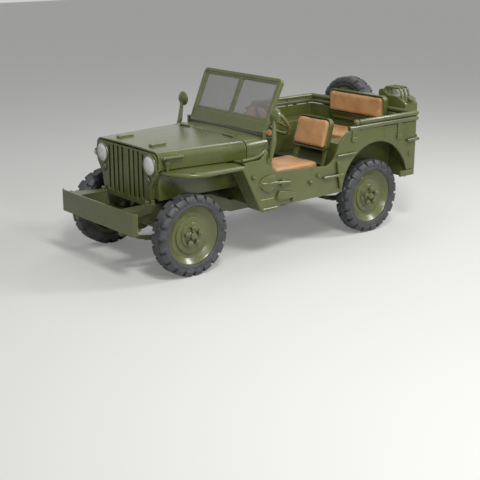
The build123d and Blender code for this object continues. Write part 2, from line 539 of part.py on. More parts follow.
# Windshield: a leaning frame with a proud outer tube and two panes, hinged at its foot
lean = radians(SHIELD_LEAN)
shield = Plane(origin=(FA - SHIELD_X, 0, SHIELD_Z), x_dir=(0, 1, 0), z_dir=(cos(lean), 0, sin(lean)))
shield_outline = [(-SHIELD_LOW_HALF, -8), (SHIELD_LOW_HALF, -8), (SHIELD_TOP_HALF, SHIELD_H), (-SHIELD_TOP_HALF, SHIELD_H)]
PANES = [(-474, -18), (18, 474)]
SASH = 8.0            # the panes' sash behind the outer tube's face
TUBE = 26.0
sash_outline = [(TUBE - SHIELD_LOW_HALF, GLASS_LOW - 26), (SHIELD_LOW_HALF - TUBE, GLASS_LOW - 26),
                (SHIELD_TOP_HALF - TUBE, SHIELD_H - TUBE), (TUBE - SHIELD_TOP_HALF, SHIELD_H - TUBE)]
with BuildPart() as windshield_frame:
    plate(shield_outline, [6, 6, 40, 40], shield, -SHIELD_T)
    plate(sash_outline, [12, 12, 20, 20], shield, -SASH, mode=Mode.SUBTRACT)
    plate(sash_outline, [12, 12, 20, 20], shield.offset(-SHIELD_T), SASH, mode=Mode.SUBTRACT)
    with BuildSketch(shield) as panes:
        for left, right in PANES:
            with Locations(((left + right) / 2, (GLASS_LOW + GLASS_TOP) / 2)):
                RectangleRounded(right - left, GLASS_TOP - GLASS_LOW, 16)
    extrude(panes.sketch, amount=-SHIELD_T, mode=Mode.SUBTRACT)
    for side in (1, -1):
        with Locations((FA - SHIELD_X, side * (SHIELD_LOW_HALF + 12), SHIELD_Z)):
            Cylinder(8, 24, rotation=(90, 0, 0))
        with Locations((FA - SHIELD_X, side * (SHIELD_LOW_HALF - 3), SHIELD_Z)):
            Cylinder(8, 12, rotation=(90, 0, 0))
finish(windshield_frame, "windshield_frame")
with BuildPart() as windshield_glass:
    with BuildSketch(shield.offset(-SHIELD_T / 2 - 3)) as panes:
        for left, right in PANES:
            with Locations(((left + right) / 2, (GLASS_LOW + GLASS_TOP) / 2)):
                RectangleRounded(right - left, GLASS_TOP - GLASS_LOW, 16)
    extrude(panes.sketch, amount=6)
finish(windshield_glass, "windshield_glass")

# Steering column with its gland on the fire wall, and the steering wheel
with BuildPart() as steering_column:
    rod(column_foot, hub - tip * 20.3, COLUMN_R)
    block(WALL_BACK - 36, WALL_BACK, WHEEL_Y - 36, WHEEL_Y + 36, column_foot.Z - 48, column_foot.Z + 44)
finish(steering_column, "steering_column")
with BuildPart() as steering_wheel:
    with Locations(Plane(origin=hub, x_dir=(0, 1, 0), z_dir=tip)):
        Torus(WHEEL_R, WHEEL_GRIP)
        Cylinder(32, 40)
        for turn in (90, 210, 330):
            with Locations((WHEEL_R / 2 * cos(radians(turn)), WHEEL_R / 2 * sin(radians(turn)), 0)):
                Box(WHEEL_R, 16, 12, rotation=(0, 0, turn))
finish(steering_wheel, "steering_wheel")

# Front seats: tube legs, pan and a tray-shaped back shell, with a cushion and a back pad
SEAT_FRONT = FA - 950
SEAT_BACK = FA - 1470
PAN_Z = 640.0
RECLINE = 15.0
SHELL_W = 430.0
SHELL_H = 285.0
SHELL_RIM = 10.0
SHELL_DEPTH = 28.0
PAD_GAP = 2.0
back_plane = Plane(origin=(FA - 1548, SEAT_Y, 800), x_dir=(0, 1, 0),
                   z_dir=(cos(radians(RECLINE)), 0, sin(radians(RECLINE))))


def panel(half, low, high, corner, plane, amount, mode=Mode.ADD):
    """An upright panel with round corners, tighter at its foot."""
    plate([(-half, low), (half, low), (half, high), (-half, high)],
          [corner * 0.6, corner * 0.6, corner, corner], plane, amount, mode)


with BuildPart() as driver_seat_frame:
    block(SEAT_BACK - 40, SEAT_FRONT, SEAT_Y - SEAT_W / 2, SEAT_Y + SEAT_W / 2, PAN_Z, PAN_Z + 16)
    for x, low in ((SEAT_PIVOT, FLOOR_TOP + 20), (SEAT_BACK, FLOOR_TOP + 0.3)):
        for y in (SEAT_Y - 180, SEAT_Y + 180):
            rod((x, y, low), (x, y, PAN_Z + 2), 14)
    rod((SEAT_PIVOT, SEAT_Y - 206, FLOOR_TOP + 20), (SEAT_PIVOT, SEAT_Y + 206, FLOOR_TOP + 20), 14)
    panel(SHELL_W / 2, 0, SHELL_H, 64, back_plane.offset(-16), 16 + SHELL_DEPTH)
    panel(SHELL_W / 2 - SHELL_RIM, SHELL_RIM, SHELL_H - SHELL_RIM, 54, back_plane, SHELL_DEPTH, Mode.SUBTRACT)
    for y in (-185, 185):
        plate([(y - 18, -175), (y + 18, -175), (y + 18, 40), (y - 18, 40)], [2, 2, 2, 2], back_plane.offset(-16), 16)
finish(driver_seat_frame, "driver_seat_frame")
with BuildPart() as driver_seat_pads:
    block(SEAT_BACK, SEAT_FRONT - 6, SEAT_Y - SEAT_W / 2 + 5, SEAT_Y + SEAT_W / 2 - 5, PAN_Z + 16, PAN_Z + 70)
    cushion = driver_seat_pads.edges().filter_by(Axis.Z)
    fillet(cushion, 30)
finish(driver_seat_pads, "driver_seat_pads")
with BuildPart() as driver_back_pad:
    inset = SHELL_RIM + PAD_GAP
    panel(SHELL_W / 2 - inset, inset, SHELL_H - inset, 52, back_plane, 42)
finish(driver_back_pad, "driver_back_pad")
mirrored(driver_seat_frame, "passenger_seat_frame")
mirrored(driver_seat_pads, "passenger_seat_pads")
mirrored(driver_back_pad, "passenger_back_pad")

# Rear bench: seat board on legs, a tray-shaped back shell on the rear panel, and two pads
BENCH_HALF = 364.0
BENCH_LOW = 940.0
BENCH_TOP = 1168.0
BENCH_BACK = BACK_X + WALL
bench_plane = Plane(origin=(BENCH_BACK, 0, 0), x_dir=(0, 1, 0), z_dir=(1, 0, 0))
with BuildPart() as rear_seat_frame:
    block(FA - 2440, FA - 2030, -390, 390, 750, 766)
    for x in (FA - 2060, FA - 2410):
        for y in (-360, 360):
            rod((x, y, BED_TOP), (x, y, 752), 14)
    panel(BENCH_HALF, BENCH_LOW - 60, BENCH_TOP, 50, bench_plane, 24)
    panel(BENCH_HALF, BENCH_LOW, BENCH_TOP, 50, bench_plane, 24 + SHELL_DEPTH)
    panel(BENCH_HALF - SHELL_RIM, BENCH_LOW + SHELL_RIM, BENCH_TOP - SHELL_RIM, 40, bench_plane.offset(24),
          SHELL_DEPTH, Mode.SUBTRACT)
finish(rear_seat_frame, "rear_seat_frame")
with BuildPart() as rear_seat_pad:
    block(FA - 2440, FA - 2036, -380, 380, 766, 826)
    fillet(rear_seat_pad.edges().filter_by(Axis.Z), 30)
finish(rear_seat_pad, "rear_seat_pad")
with BuildPart() as rear_back_pad:
    panel(BENCH_HALF - inset, BENCH_LOW + inset, BENCH_TOP - inset, 38, bench_plane.offset(24), 50)
finish(rear_back_pad, "rear_back_pad")

# Gear levers through the floor
LEVERS = [(FA - 900, 60, 740), (FA - 1010, -20, 660), (FA - 1050, -70, 640)]
with BuildPart() as gear_levers:
    for x, y, top in LEVERS:
        rod((x, y, FLOOR_TOP + 8), (x - 60, y, top), 8)
        rod((x, y, FLOOR_TOP), (x, y, FLOOR_TOP + 20), 30)
        with Locations((x - 60, y, top)):
            Sphere(20)
finish(gear_levers, "gear_levers")


def wheel_rim():
    """A dished steel wheel round the Y axis, its outer face at +Y, with drum, nuts and cap."""
    profile = [
        (0, 54), (26, 54), (32, 48), (32, 26), (100, 26), (106, DISC_FACE + 2), (146, DISC_FACE + 2),
        (150, DISC_FACE - 6), (158, DISC_FACE - 6), (162, DISC_FACE), (188, DISC_FACE), (232, RIM_HALF - 6),
        (236, RIM_HALF), (RIM_LIP, RIM_HALF), (RIM_LIP, BEAD), (BARREL, BEAD - 16), (BARREL, -44), (RIM_LIP, -44),
        (RIM_LIP, -RIM_HALF), (BARREL - 8, -RIM_HALF), (BARREL - 8, 20), (188, 6), (125, 6), (125, -42),
        (85, -42), (85, -8), (HUB_BORE, -8), (HUB_BORE, 40), (0, 40),
    ]
    with BuildPart() as rim:
        with BuildSketch(Plane.XY) as half:
            with BuildLine():
                Polyline(*profile, close=True)
            make_face()
        revolve(half.sketch, axis=Axis.Y)
        for i in range(5):
            turn = radians(72 * i + 90)
            x, z = NUT_CIRCLE * cos(turn), NUT_CIRCLE * sin(turn)
            rod((x, 22, z), (x, 54, z), NUT_R)
    return rim.part


def wheel_tyre():
    """A tyre round the Y axis, out to its lug tips, with notches between the lugs of each shoulder."""
    gap = 0.3
    notch = [(TYRE_RADIUS + 2, TREAD_HALF - 24), (TYRE_RADIUS - 13, TREAD_HALF - 20), (298, TYRE_HALF - 8),
             (298, TYRE_HALF + 2), (TYRE_RADIUS + 2, TYRE_HALF + 2)]
    with BuildPart() as tyre:
        with BuildSketch(Plane.XY) as half:
            with BuildLine():
                Polyline((BARREL + gap, gap - 44), (BARREL + gap, BEAD - 16 - gap), (RIM_LIP + gap, BEAD - gap),
                         (RIM_LIP + gap, 60), (262, TYRE_HALF - 3), (292, TYRE_HALF), (318, 68),
                         (TYRE_RADIUS, TREAD_HALF), (TYRE_RADIUS, -TREAD_HALF), (318, -68), (292, -TYRE_HALF),
                         (262, 3 - TYRE_HALF), (RIM_LIP + gap, -60), (RIM_LIP + gap, gap - 44), close=True)
            make_face()
        revolve(half.sketch, axis=Axis.Y)
        for side, start in ((1, 0.0), (-1, 0.5)):
            for i in range(LUGS):
                turn = 360 * (i + start) / LUGS
                radial = Plane.XY.rotated((0, turn, 0))
                with BuildSketch(radial) as cut:
                    with BuildLine():
                        Polyline(*[(r, side * y) for r, y in notch], close=True)
                    make_face()
                extrude(cut.sketch, amount=LUG_GAP / 2, both=True, mode=Mode.SUBTRACT)
    return tyre.part


# Wheels: four on the axles and the spare on the rear panel
master_rim = wheel_rim()
master_tyre = wheel_tyre()
CORNERS = [  # name, x, side
    ("front_left", FA, 1), ("front_right", FA, -1), ("rear_left", RA, 1), ("rear_right", RA, -1),
]
for name, x, side in CORNERS:
    place = Location((x, side * WHEEL_CENTRE, AXLE_Z), (0, 0, 0 if side > 0 else 180))
    for kind, master in (("rim", master_rim), ("tyre", master_tyre)):
        with BuildPart() as wheel:
            add(master.moved(place))
        finish(wheel, f"{kind}_{name}")
spare_place = Location((SPARE_X, SPARE_Y, SPARE_Z), (0, 0, 90))
for name, master in (("spare_rim", master_rim), ("spare_tyre", master_tyre)):
    with BuildPart() as spare:
        add(master.moved(spare_place))
    finish(spare, name)

# Steering knuckles: a cap round each axle ball, king pins, spindle and steering arm
for name, side in (("knuckle_left", 1), ("knuckle_right", -1)):
    pin_y, arm_x = side * KINGPIN_Y, FA + ARM_LENGTH
    with BuildPart() as knuckle:
        with Locations((FA, pin_y, AXLE_Z)):
            Sphere(72)
        rod((FA, pin_y, AXLE_Z - 96), (FA, pin_y, AXLE_Z + 96), 24)
        with Locations((FA, pin_y, AXLE_Z)):
            Sphere(BALL_R + 0.6, mode=Mode.SUBTRACT)
        block(FA - 80, FA + 80, pin_y - side * 100, pin_y - side * 10, AXLE_Z - 68, AXLE_Z + 68, mode=Mode.SUBTRACT)
        rod((FA, pin_y + side * 62, AXLE_Z), (FA, side * (WHEEL_CENTRE + 30), AXLE_Z), HUB_BORE - 0.3)
        block(FA + 45, arm_x, pin_y - side * 9, pin_y + side * 14, TIE_Z - 34, TIE_Z - 16)
        rod((arm_x, pin_y, TIE_Z - 34), (arm_x, pin_y, TIE_Z - 15), 18)
        rod((arm_x, pin_y, TIE_Z - 20), (arm_x, pin_y, TIE_Z + 16), 10)
    finish(knuckle, name)
with BuildPart() as tie_rod:
    rod((FA + ARM_LENGTH, -KINGPIN_Y, TIE_Z), (FA + ARM_LENGTH, KINGPIN_Y, TIE_Z), 12)
    for side in (1, -1):
        rod((FA + ARM_LENGTH, side * KINGPIN_Y, TIE_Z - 14), (FA + ARM_LENGTH, side * KINGPIN_Y, TIE_Z + 14), 20)
    for side in (1, -1):
        rod((FA + ARM_LENGTH, side * KINGPIN_Y, TIE_Z - 15), (FA + ARM_LENGTH, side * KINGPIN_Y, TIE_Z + 15), 10.3,
            mode=Mode.SUBTRACT)
finish(tie_rod, "tie_rod")

# Mirrors: a domed head on a bent arm, the left one from the body's side, the right one from the shoulder
MIRROR_R = 64.0
ARM_R = 15.0
MIRRORS = [  # name, foot, knee, head, half sizes of the foot's pad
    ("mirror_left", (FA - 748, BODY_HALF + 5, 860), (FA - 785, BODY_HALF + ARM_R + 0.5, 1010), (FA - 835, 660, 1200),
     (22, 5, 25)),
    ("mirror_right", (FA - 735, -600, SHOULDER_TOP + 5), (FA - 790, -585, 1010), (FA - 835, -600, 1200),
     (17, 22, 5)),
]
for name, foot, knee, head, pad in MIRRORS:
    stem = (foot[0], BODY_HALF + ARM_R + 0.5 if foot[1] > 0 else foot[1], foot[2] + 3)
    with BuildPart() as arm:
        with BuildLine() as bent:
            FilletPolyline(stem, knee, head, radius=80)
        with BuildSketch(Plane(origin=bent.line @ 0, z_dir=bent.line % 0)) as bar:
            Circle(ARM_R)
        sweep(bar.sketch, path=bent.line)
        with BuildSketch(Plane(origin=head, x_dir=(0, 0, 1), z_dir=(0, 1, 0))) as bowl:
            with BuildLine():
                Polyline((0, 24), (0, -14), (MIRROR_R, -14), (MIRROR_R, -4))
                ThreePointArc((MIRROR_R, -4), (MIRROR_R * 0.62, 16), (0, 24))
            make_face()
        revolve(bowl.sketch, axis=Axis(head, (1, 0, 0)))
        block(*[v for middle, half in zip(foot, pad) for v in (middle - half, middle + half)])
    finish(arm, name)

# Folded top bows: two tubes round the back of the body on posts, with straps at the sides
BOWS = [(FA - 1684, 1003), (FA - 1806, 1050)]  # front end, height
STRAPS = [(FA - 1736, 890), (FA - 2325, 846)]  # middle, foot
BOW_R = 18.0
with BuildPart() as top_bows:
    for front, z in BOWS:
        y, back = BODY_HALF - 6, BACK_X - 2
        for side in (1, -1):
            rod((front, side * y, z), (back, side * y, z), BOW_R)
            with Locations((back, side * y, z)):
                Sphere(BOW_R)
        rod((back, -y, z), (back, y, z), BOW_R)
    for side in (1, -1):
        front, z = BOWS[0]
        rod((front + 1, side * y, z), (front - 60, side * y, z), BOW_R - 6, mode=Mode.SUBTRACT)
        front, z = BOWS[1]
        rod((front - 10, side * y, z), (front + 30, side * y, z), 9)
        with Locations((front + 34, side * y, z)):
            Sphere(21)
        for x, low in STRAPS:
            block(x - 22, x + 22, side * BODY_HALF, side * (BODY_HALF + 6), low, BOWS[0][1])
            block(x - 26, x + 26, side * BODY_HALF, side * (BODY_HALF + 11), low - 2, low + 30)
    for x in (FA - 1780, FA - 1850, FA - 2200, FA - 2480):
        for side in (1, -1):
            top = BOWS[1][1] if x < BOWS[1][0] else BOWS[0][1]
            rod((x, side * (BODY_HALF - 12), BODY_TOP), (x, side * (BODY_HALF - 12), top), 9)
finish(top_bows, "top_bows")

# Fuel can: humped body pressed with a cross on its faces, three handles and a tilted cap
can_side = [(-0.5, 0.0), (0.5, 0.0), (0.5, 0.76), (0.17, 0.88), (-0.16, 0.88), (-0.38, 1.0), (-0.5, 0.96)]  # of width, height
can_plane = Plane(origin=(CAN_X, CAN_Y, CAN_LOW), x_dir=(0, 1, 0), z_dir=(1, 0, 0))
HANDLE_R = 11.0
handle_line = [(-0.40, 0.94), (-0.30, 1.035), (0.18, 1.035), (0.33, 0.80)]
with BuildPart() as fuel_can:
    plate([(y * CAN_W, z * CAN_H) for y, z in can_side], [35, 35, 24, 24, 24, 20, 24],
          can_plane.offset(-CAN_T / 2), CAN_T)
    for end in (1, -1):
        with BuildSketch(can_plane.offset(end * CAN_T / 2)) as cross:
            with Locations((0, CAN_H * 0.42)):
                for turn in (48, -48):
                    Rectangle(CAN_W * 0.95, 16, rotation=turn)
        extrude(cross.sketch, amount=-end * 4, mode=Mode.SUBTRACT)
    for x in (-50, 0, 50):
        with BuildLine(can_plane.offset(x)) as grip:
            FilletPolyline(*[(y * CAN_W, z * CAN_H) for y, z in handle_line], radius=24)
        with BuildSketch(Plane(origin=grip.line @ 0, z_dir=grip.line % 0)) as round_bar:
            Circle(HANDLE_R)
        sweep(round_bar.sketch, path=grip.line)
    spout = Plane(origin=(CAN_X, CAN_Y + CAN_W * 0.42, CAN_LOW + CAN_H * 0.76), z_dir=(0, 0.55, 0.84))
    with Locations(spout):
        Cylinder(27, 70)
        with Locations((0, 0, 46)):
            Cylinder(38, 24)
finish(fuel_can, "fuel_can")

# Tools on the left side: a domed shovel blade with its socket, an axe head, studs and a crossed clamp
HANDLE_END = 15.0
TOOL_Y = BODY_HALF + HANDLE_END + 0.4
STUDS = [(FA - 576, 730), (FA - 1215, 596), (FA - 1308, 642), (FA - 1012, 478)]  # x, z
CLAMP_R = 14.0
CLAMP = [((FA - 1371, 613), (FA - 1592, 611)), ((FA - 1533, 722), (FA - 1572, 500))]  # from, to
BLADE_RISE = 26.0
BLADE_REACH = 105.0
blade = [(FA - 634, 672), (FA - 668, 712), (FA - 740, 730), (FA - 806, 716), (FA - 806, 592), (FA - 740, 586),
         (FA - 668, 620)]
dome = (BLADE_REACH ** 2 + BLADE_RISE ** 2) / (2 * BLADE_RISE)
with BuildPart() as shovel_blade:
    plate(blade, [22, 40, 60, 14, 14, 60, 40], Plane.XZ.offset(-BODY_HALF), -BLADE_RISE)
    with Locations((FA - 730, BODY_HALF + BLADE_RISE - dome + 1, 658)):
        Sphere(dome, mode=Mode.INTERSECT)
with BuildPart() as tools:
    add(shovel_blade.part)
    rod((FA - 656, TOOL_Y + 1, 668), (FA - 800, TOOL_Y + 1, 657), HANDLE_END - 3)
    rod((FA - 780, TOOL_Y, 659), (FA - 962, TOOL_Y, 641), HANDLE_END)
    with Locations((FA - 962, TOOL_Y, 641)):
        Sphere(HANDLE_END)
    block(FA - 906, FA - 874, BODY_HALF, BODY_HALF + 24, 622, 674)
    head = [(FA - 822, 520), (FA - 850, 582), (FA - 1012, 548), (FA - 1012, 500), (FA - 850, 508)]
    plate(head, [10, 12, 16, 10, 20], Plane.XZ.offset(-BODY_HALF), -24)
    fillet(tools.faces().filter_by(Axis.Y).sort_by(Axis.X)[0].edges(), 7)
    block(FA - 1034, FA - 1002, BODY_HALF, BODY_HALF + 16, 512, 540)
    for x, z in STUDS:
        rod((x, BODY_HALF, z), (x, BODY_HALF + 16, z), 13)
    for (x0, z0), (x1, z1) in CLAMP:
        rod((x0, TOOL_Y, z0), (x1, TOOL_Y, z1), CLAMP_R)
        with Locations((x0, TOOL_Y, z0), (x1, TOOL_Y, z1)):
            Sphere(CLAMP_R)
        rod((x0, BODY_HALF, z0), (x0, TOOL_Y, z0), CLAMP_R - 2)
finish(tools, "tools")

# Grab handles on the body's sides, tubes round its rear corners, and round reflectors
GRABS = [(FA - 1525, FA - 1738, 786)]
GRAB_R = 10.0
CORNER_Z = 812.0
CORNER_R = 15.0
REFLECTOR = (FA - 2487, 680)
with BuildPart() as body_handles:
    for side in (1, -1):
        for front, back, z in GRABS:
            y = side * (BODY_HALF + FENDER_OUT - GRAB_R - 0.4)
            rod((front, y, z), (back, y, z), GRAB_R)
            with Locations((front, y, z), (back, y, z)):
                Sphere(GRAB_R)
            for x in (front, back):
                rod((x, side * BODY_HALF, z), (x, y, z), GRAB_R - 3)
        out, behind = side * (BODY_HALF + CORNER_R + 0.4), BACK_X - CORNER_R - 0.4
        ends = [(BACK_X + 116, out, CORNER_Z), (behind, side * (BODY_HALF - 84), CORNER_Z)]
        corner = (behind, out, CORNER_Z)
        for end in ends:
            rod(end, corner, CORNER_R)
        with Locations(corner, *ends):
            Sphere(CORNER_R)
        rod((BACK_X + 100, side * BODY_HALF, CORNER_Z), (BACK_X + 100, out, CORNER_Z), 10)
        rod((BACK_X, side * (BODY_HALF - 70), CORNER_Z), (behind, side * (BODY_HALF - 70), CORNER_Z), 10)
        x, z = REFLECTOR
        rod((x, side * BODY_HALF, z), (x, side * (BODY_HALF + 10), z), 23)
finish(body_handles, "body_handles")
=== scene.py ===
import json
from math import atan2, cos, modf, pi, radians, sin

import bmesh
import bpy
from mathutils import Matrix, Vector, noise

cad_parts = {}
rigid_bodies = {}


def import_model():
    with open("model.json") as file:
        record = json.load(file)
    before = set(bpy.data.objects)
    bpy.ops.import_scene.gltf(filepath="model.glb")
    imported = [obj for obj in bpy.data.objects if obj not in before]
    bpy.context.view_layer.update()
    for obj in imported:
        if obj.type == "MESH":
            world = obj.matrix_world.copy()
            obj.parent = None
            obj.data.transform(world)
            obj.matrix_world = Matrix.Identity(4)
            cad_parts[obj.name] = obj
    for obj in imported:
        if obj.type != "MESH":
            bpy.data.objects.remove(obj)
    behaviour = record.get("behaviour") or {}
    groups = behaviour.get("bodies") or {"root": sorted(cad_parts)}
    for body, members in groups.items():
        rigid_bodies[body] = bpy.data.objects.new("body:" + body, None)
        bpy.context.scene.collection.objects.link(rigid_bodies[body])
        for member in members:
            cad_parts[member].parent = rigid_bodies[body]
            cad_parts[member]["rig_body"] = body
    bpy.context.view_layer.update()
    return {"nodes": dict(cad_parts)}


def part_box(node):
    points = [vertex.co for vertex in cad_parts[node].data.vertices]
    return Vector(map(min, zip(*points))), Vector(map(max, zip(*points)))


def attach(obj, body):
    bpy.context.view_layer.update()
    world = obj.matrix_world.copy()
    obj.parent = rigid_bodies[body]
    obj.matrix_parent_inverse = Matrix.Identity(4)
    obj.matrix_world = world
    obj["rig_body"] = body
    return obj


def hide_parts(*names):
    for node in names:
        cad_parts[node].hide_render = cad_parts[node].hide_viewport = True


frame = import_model()

# Ladder frame, springs and axle housings: riveted rails, forged leaves and cast housings, all sprayed with the
# same satin enamel as the body and then covered with road dust. They are bolted up under the body.
FRONT_AXLE = 1.132  # metres ahead of the frame's origin
HALF_WIDTH = 0.7348  # how far the car reaches to each side
WELD = 0.00003  # doubles in a CAD mesh lie closer than this


def linear(code):
    """An sRGB hex colour as linear light."""
    parts = [int(code[i:i + 2], 16) / 255 for i in (1, 3, 5)]
    return [c / 12.92 if c <= 0.04045 else ((c + 0.055) / 1.055) ** 2.4 for c in parts] + [1.0]


def put(tree, kind, inputs, **settings):
    """Add a node to a material with its settings, and set or link its inputs."""
    made = tree.nodes.new("ShaderNode" + kind)
    for key, value in settings.items():
        setattr(made, key, value)
    for key, value in inputs.items():
        if isinstance(value, bpy.types.NodeSocket):
            tree.links.new(value, made.inputs[key])
        else:
            made.inputs[key].default_value = value
    return made.outputs


def bare(name):
    """Start a material without nodes, and give it with its tree and its Object coordinates."""
    made = bpy.data.materials.new(name)
    made.use_nodes = True
    made.node_tree.nodes.clear()
    return made, made.node_tree, put(made.node_tree, "TexCoord", {})["Object"]


def enamel(name, colour, faded, rubbed_and_highlight, dust, painted_shade_colour, roughness, edge_wear_and_highlight=0.6, dirt=0.35):
    """Satin alkyd enamel on steel: a soft broad sheen, faint orange peel, cloudy fading, edges made pale partly by
    rubbed paint and partly by a painted highlight, painted shade in the seams and corners, and a film of pale dust
    that thickens towards the wheels."""
    made, tree, place = bare(name)
    # fading in clouds of about 300 mm
    cloud = put(tree, "TexNoise", {"Vector": place, "Scale": 1 / 0.30, "Detail": 5.0, "Roughness": 0.62})["Fac"]
    cloud = put(tree, "MapRange", {"Value": cloud, 1: 0.35, 2: 0.68})[0]
    tint = put(tree, "Mix", {0: cloud, 6: linear(colour), 7: linear(faded)}, data_type="RGBA")[2]
    # scuffs of 25 mm, broken up so that they touch the edges here and there; every edge is also made paler as a
    # painted highlight
    scuff = put(tree, "TexNoise", {"Vector": place, "Scale": 1 / 0.025, "Detail": 6.0, "Roughness": 0.7})["Fac"]
    smooth = put(tree, "Bevel", {"Radius": 0.006}, samples=6)["Normal"]
    flat = put(tree, "NewGeometry", {})["Normal"]
    bend = put(tree, "VectorMath", {0: smooth, 1: flat}, operation="DOT_PRODUCT")["Value"]
    edge = put(tree, "MapRange", {"Value": bend, 1: 0.995, 2: 0.86, 3: 0.0, 4: edge_wear_and_highlight})[0]
    patchy = put(tree, "MapRange", {"Value": scuff, 1: 0.30, 2: 0.62, 3: 0.25, 4: 1.0})[0]
    wear_and_highlight = put(tree, "Math", {0: edge, 1: patchy}, operation="MULTIPLY")[0]
    # the edges take the pale colour, partly worn paint and partly a painted highlight
    tint = put(tree, "Mix", {0: wear_and_highlight, 6: tint, 7: linear(rubbed_and_highlight)}, data_type="RGBA")[2]
    # dust film, thickest below hub height and gone at the top of the doors
    height = put(tree, "SeparateXYZ", {0: place})["Z"]
    low = put(tree, "MapRange", {"Value": height, 1: 0.75, 2: 0.30, 3: 0.0, 4: dirt})[0]
    film = put(tree, "Math", {0: low, 1: scuff}, operation="MULTIPLY")[0]
    tint = put(tree, "Mix", {0: film, 6: tint, 7: linear(dust)}, data_type="RGBA")[2]
    # painted shade: seams and corners within about 22 mm are darkened towards a shade colour
    open_air = put(tree, "AmbientOcclusion", {"Distance": 0.022}, samples=6)["AO"]
    painted_shade_mask = put(tree, "MapRange", {"Value": open_air, 1: 0.80, 2: 0.25, 3: 0.0, 4: 0.65})[0]
    tint = put(tree, "Mix", {0: painted_shade_mask, 6: tint, 7: linear(painted_shade_colour)}, data_type="RGBA")[2]
    sheen = put(tree, "MapRange", {"Value": cloud, 3: roughness - 0.05, 4: roughness + 0.08})[0]
    # orange peel is 2 mm across; it is drawn 12 mm across so that it shows at this size
    peel = put(tree, "TexNoise", {"Vector": place, "Scale": 1 / 0.012, "Detail": 2.0})["Fac"]
    relief = put(tree, "Bump", {"Height": peel, "Strength": 0.03, "Distance": 0.001, "Normal": smooth})["Normal"]
    shader = put(tree, "BsdfPrincipled", {"Base Color": tint, "Roughness": sheen, "Normal": relief,
                                          "Specular IOR Level": 0.5, "IOR": 1.5, "Coat Weight": 0.6,
                                          "Coat Roughness": 0.2})["BSDF"]
    put(tree, "OutputMaterial", {"Surface": shader})
    return made


# each enamel's sixth colour is its painted shade for seams and corners, and its fourth is the pale edge colour, partly
# worn paint and partly painted highlight
body_paint = enamel("satin_olive_enamel", "#565c2b", "#616735", "#aab07c", "#8b8468", "#23260f", 0.30, 0.8, 0.22)
chassis_paint = enamel("dusty_olive_enamel", "#444a24", "#4d522c", "#70764a", "#7f7960", "#1a1c0e", 0.5, 0.4, 0.4)


def plain(name, finish):
    """Keep a CAD node as it is, with its finish."""
    piece = frame["nodes"][name]
    piece.data.materials.clear()
    piece.data.materials.append(finish)


def rolled(name, edge, finish, sharp=32.0, swell=0.0, between=(0.0, 2.0), shape=None):
    """A copy of a CAD node with its edges rolled to a small radius, in place of the node."""
    source = frame["nodes"][name]
    form = bmesh.new()
    form.from_mesh(source.data)
    bmesh.ops.remove_doubles(form, verts=form.verts, dist=WELD)
    form.normal_update()
    if swell:
        outward = [(v, v.normal * swell) for v in form.verts if between[0] < v.co.z < between[1]]
        for v, step in outward:
            v.co += step
            v.co.y = min(max(v.co.y, -HALF_WIDTH), HALF_WIDTH)
    # flat faces lose their triangles, so that only real edges are rolled
    bmesh.ops.dissolve_limit(form, angle_limit=radians(0.8), verts=form.verts, edges=form.edges)
    if shape:
        shape(form)
    mesh = bpy.data.meshes.new(name + "_made")
    form.to_mesh(mesh)
    form.free()
    mesh.shade_smooth()
    mesh.set_sharp_from_angle(angle=radians(sharp))
    mesh.materials.append(finish)
    piece = bpy.data.objects.new(name + "_made", mesh)
    bpy.context.scene.collection.objects.link(piece)
    lip = piece.modifiers.new("rolled_edge", "BEVEL")
    lip.limit_method = "ANGLE"
    lip.angle_limit = radians(sharp)
    lip.width = edge
    lip.segments = 3
    lip.harden_normals = True
    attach(piece, source["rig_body"])
    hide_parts(name)
    return piece


for name in ("frame_rails", "front_axle", "rear_axle", "leaf_springs", "prop_shafts", "knuckle_left",
             "knuckle_right", "tie_rod", "tow_hitch", "steering_column"):
    plain(name, chassis_paint)

# Wheels: bias-ply cross-country tyres with chunky shoulder bars on dished steel rims, each held by five nuts on a
# drum. Four turn on the axles and a fifth is bolted to the rear panel.
TYRE_R = 0.335
BARS = 20
BAR_SHARE = 0.74
CARCASS = [  # radius, distance from the middle plane
    (0.2143, 0.0237), (0.2403, 0.0397), (0.2403, 0.0590), (0.2460, 0.0640), (0.2530, 0.0655), (0.2560, 0.0695),
    (0.2620, 0.0700), (0.2650, 0.0680), (0.2760, 0.0715), (0.2860, 0.0722), (0.2940, 0.0690), (0.3040, 0.0620),
    (0.3130, 0.0520), (0.3190, 0.0400), (0.3210, 0.0290), (0.3310, 0.0240), (0.3345, 0.0190), (TYRE_R, 0.0),
]
BAR = [(0.3160, 0.0205), (TYRE_R, 0.0205), (TYRE_R, 0.0530), (0.3320, 0.0590), (0.3200, 0.0690), (0.2960, 0.0775),
       (0.2840, 0.0745), (0.2820, 0.0700), (0.3020, 0.0600)]
RIM_FACE = [
    (0.0, 0.0680), (0.0200, 0.0675), (0.0270, 0.0640), (0.0300, 0.0560), (0.0315, 0.0400), (0.0380, 0.0360),
    (0.0960, 0.0385), (0.1020, 0.0365), (0.1045, 0.0300), (0.1065, 0.0235), (0.1120, 0.0225), (0.1430, 0.0265),
    (0.1485, 0.0245), (0.1510, 0.0180), (0.1530, 0.0105), (0.1600, 0.0085), (0.1860, 0.0110), (0.1920, 0.0150),
    (0.2280, 0.0440), (0.2325, 0.0480),
    (0.2350, 0.0520), (0.2395, 0.0520), (0.2400, 0.0405), (0.2140, 0.0243), (0.2140, -0.0440), (0.2400, -0.0440),
    (0.2400, -0.0520), (0.2060, -0.0520), (0.2060, 0.0160), (0.1880, 0.0040), (0.1250, 0.0040), (0.1250, -0.0400),
    (0.0850, -0.0400), (0.0850, -0.0080), (0.0290, -0.0080), (0.0290, 0.0380), (0.0, 0.0380),
]
NUT_CIRCLE = 0.067
NUT = [(6, 0.0250, 0.0250, 0.0340, 0.0690), (14, 0.0130, 0.0100, 0.0680, 0.0770)]  # sides, two radii, start, end
WHEELBASE, TRACK_HALF = 2.032, 0.6


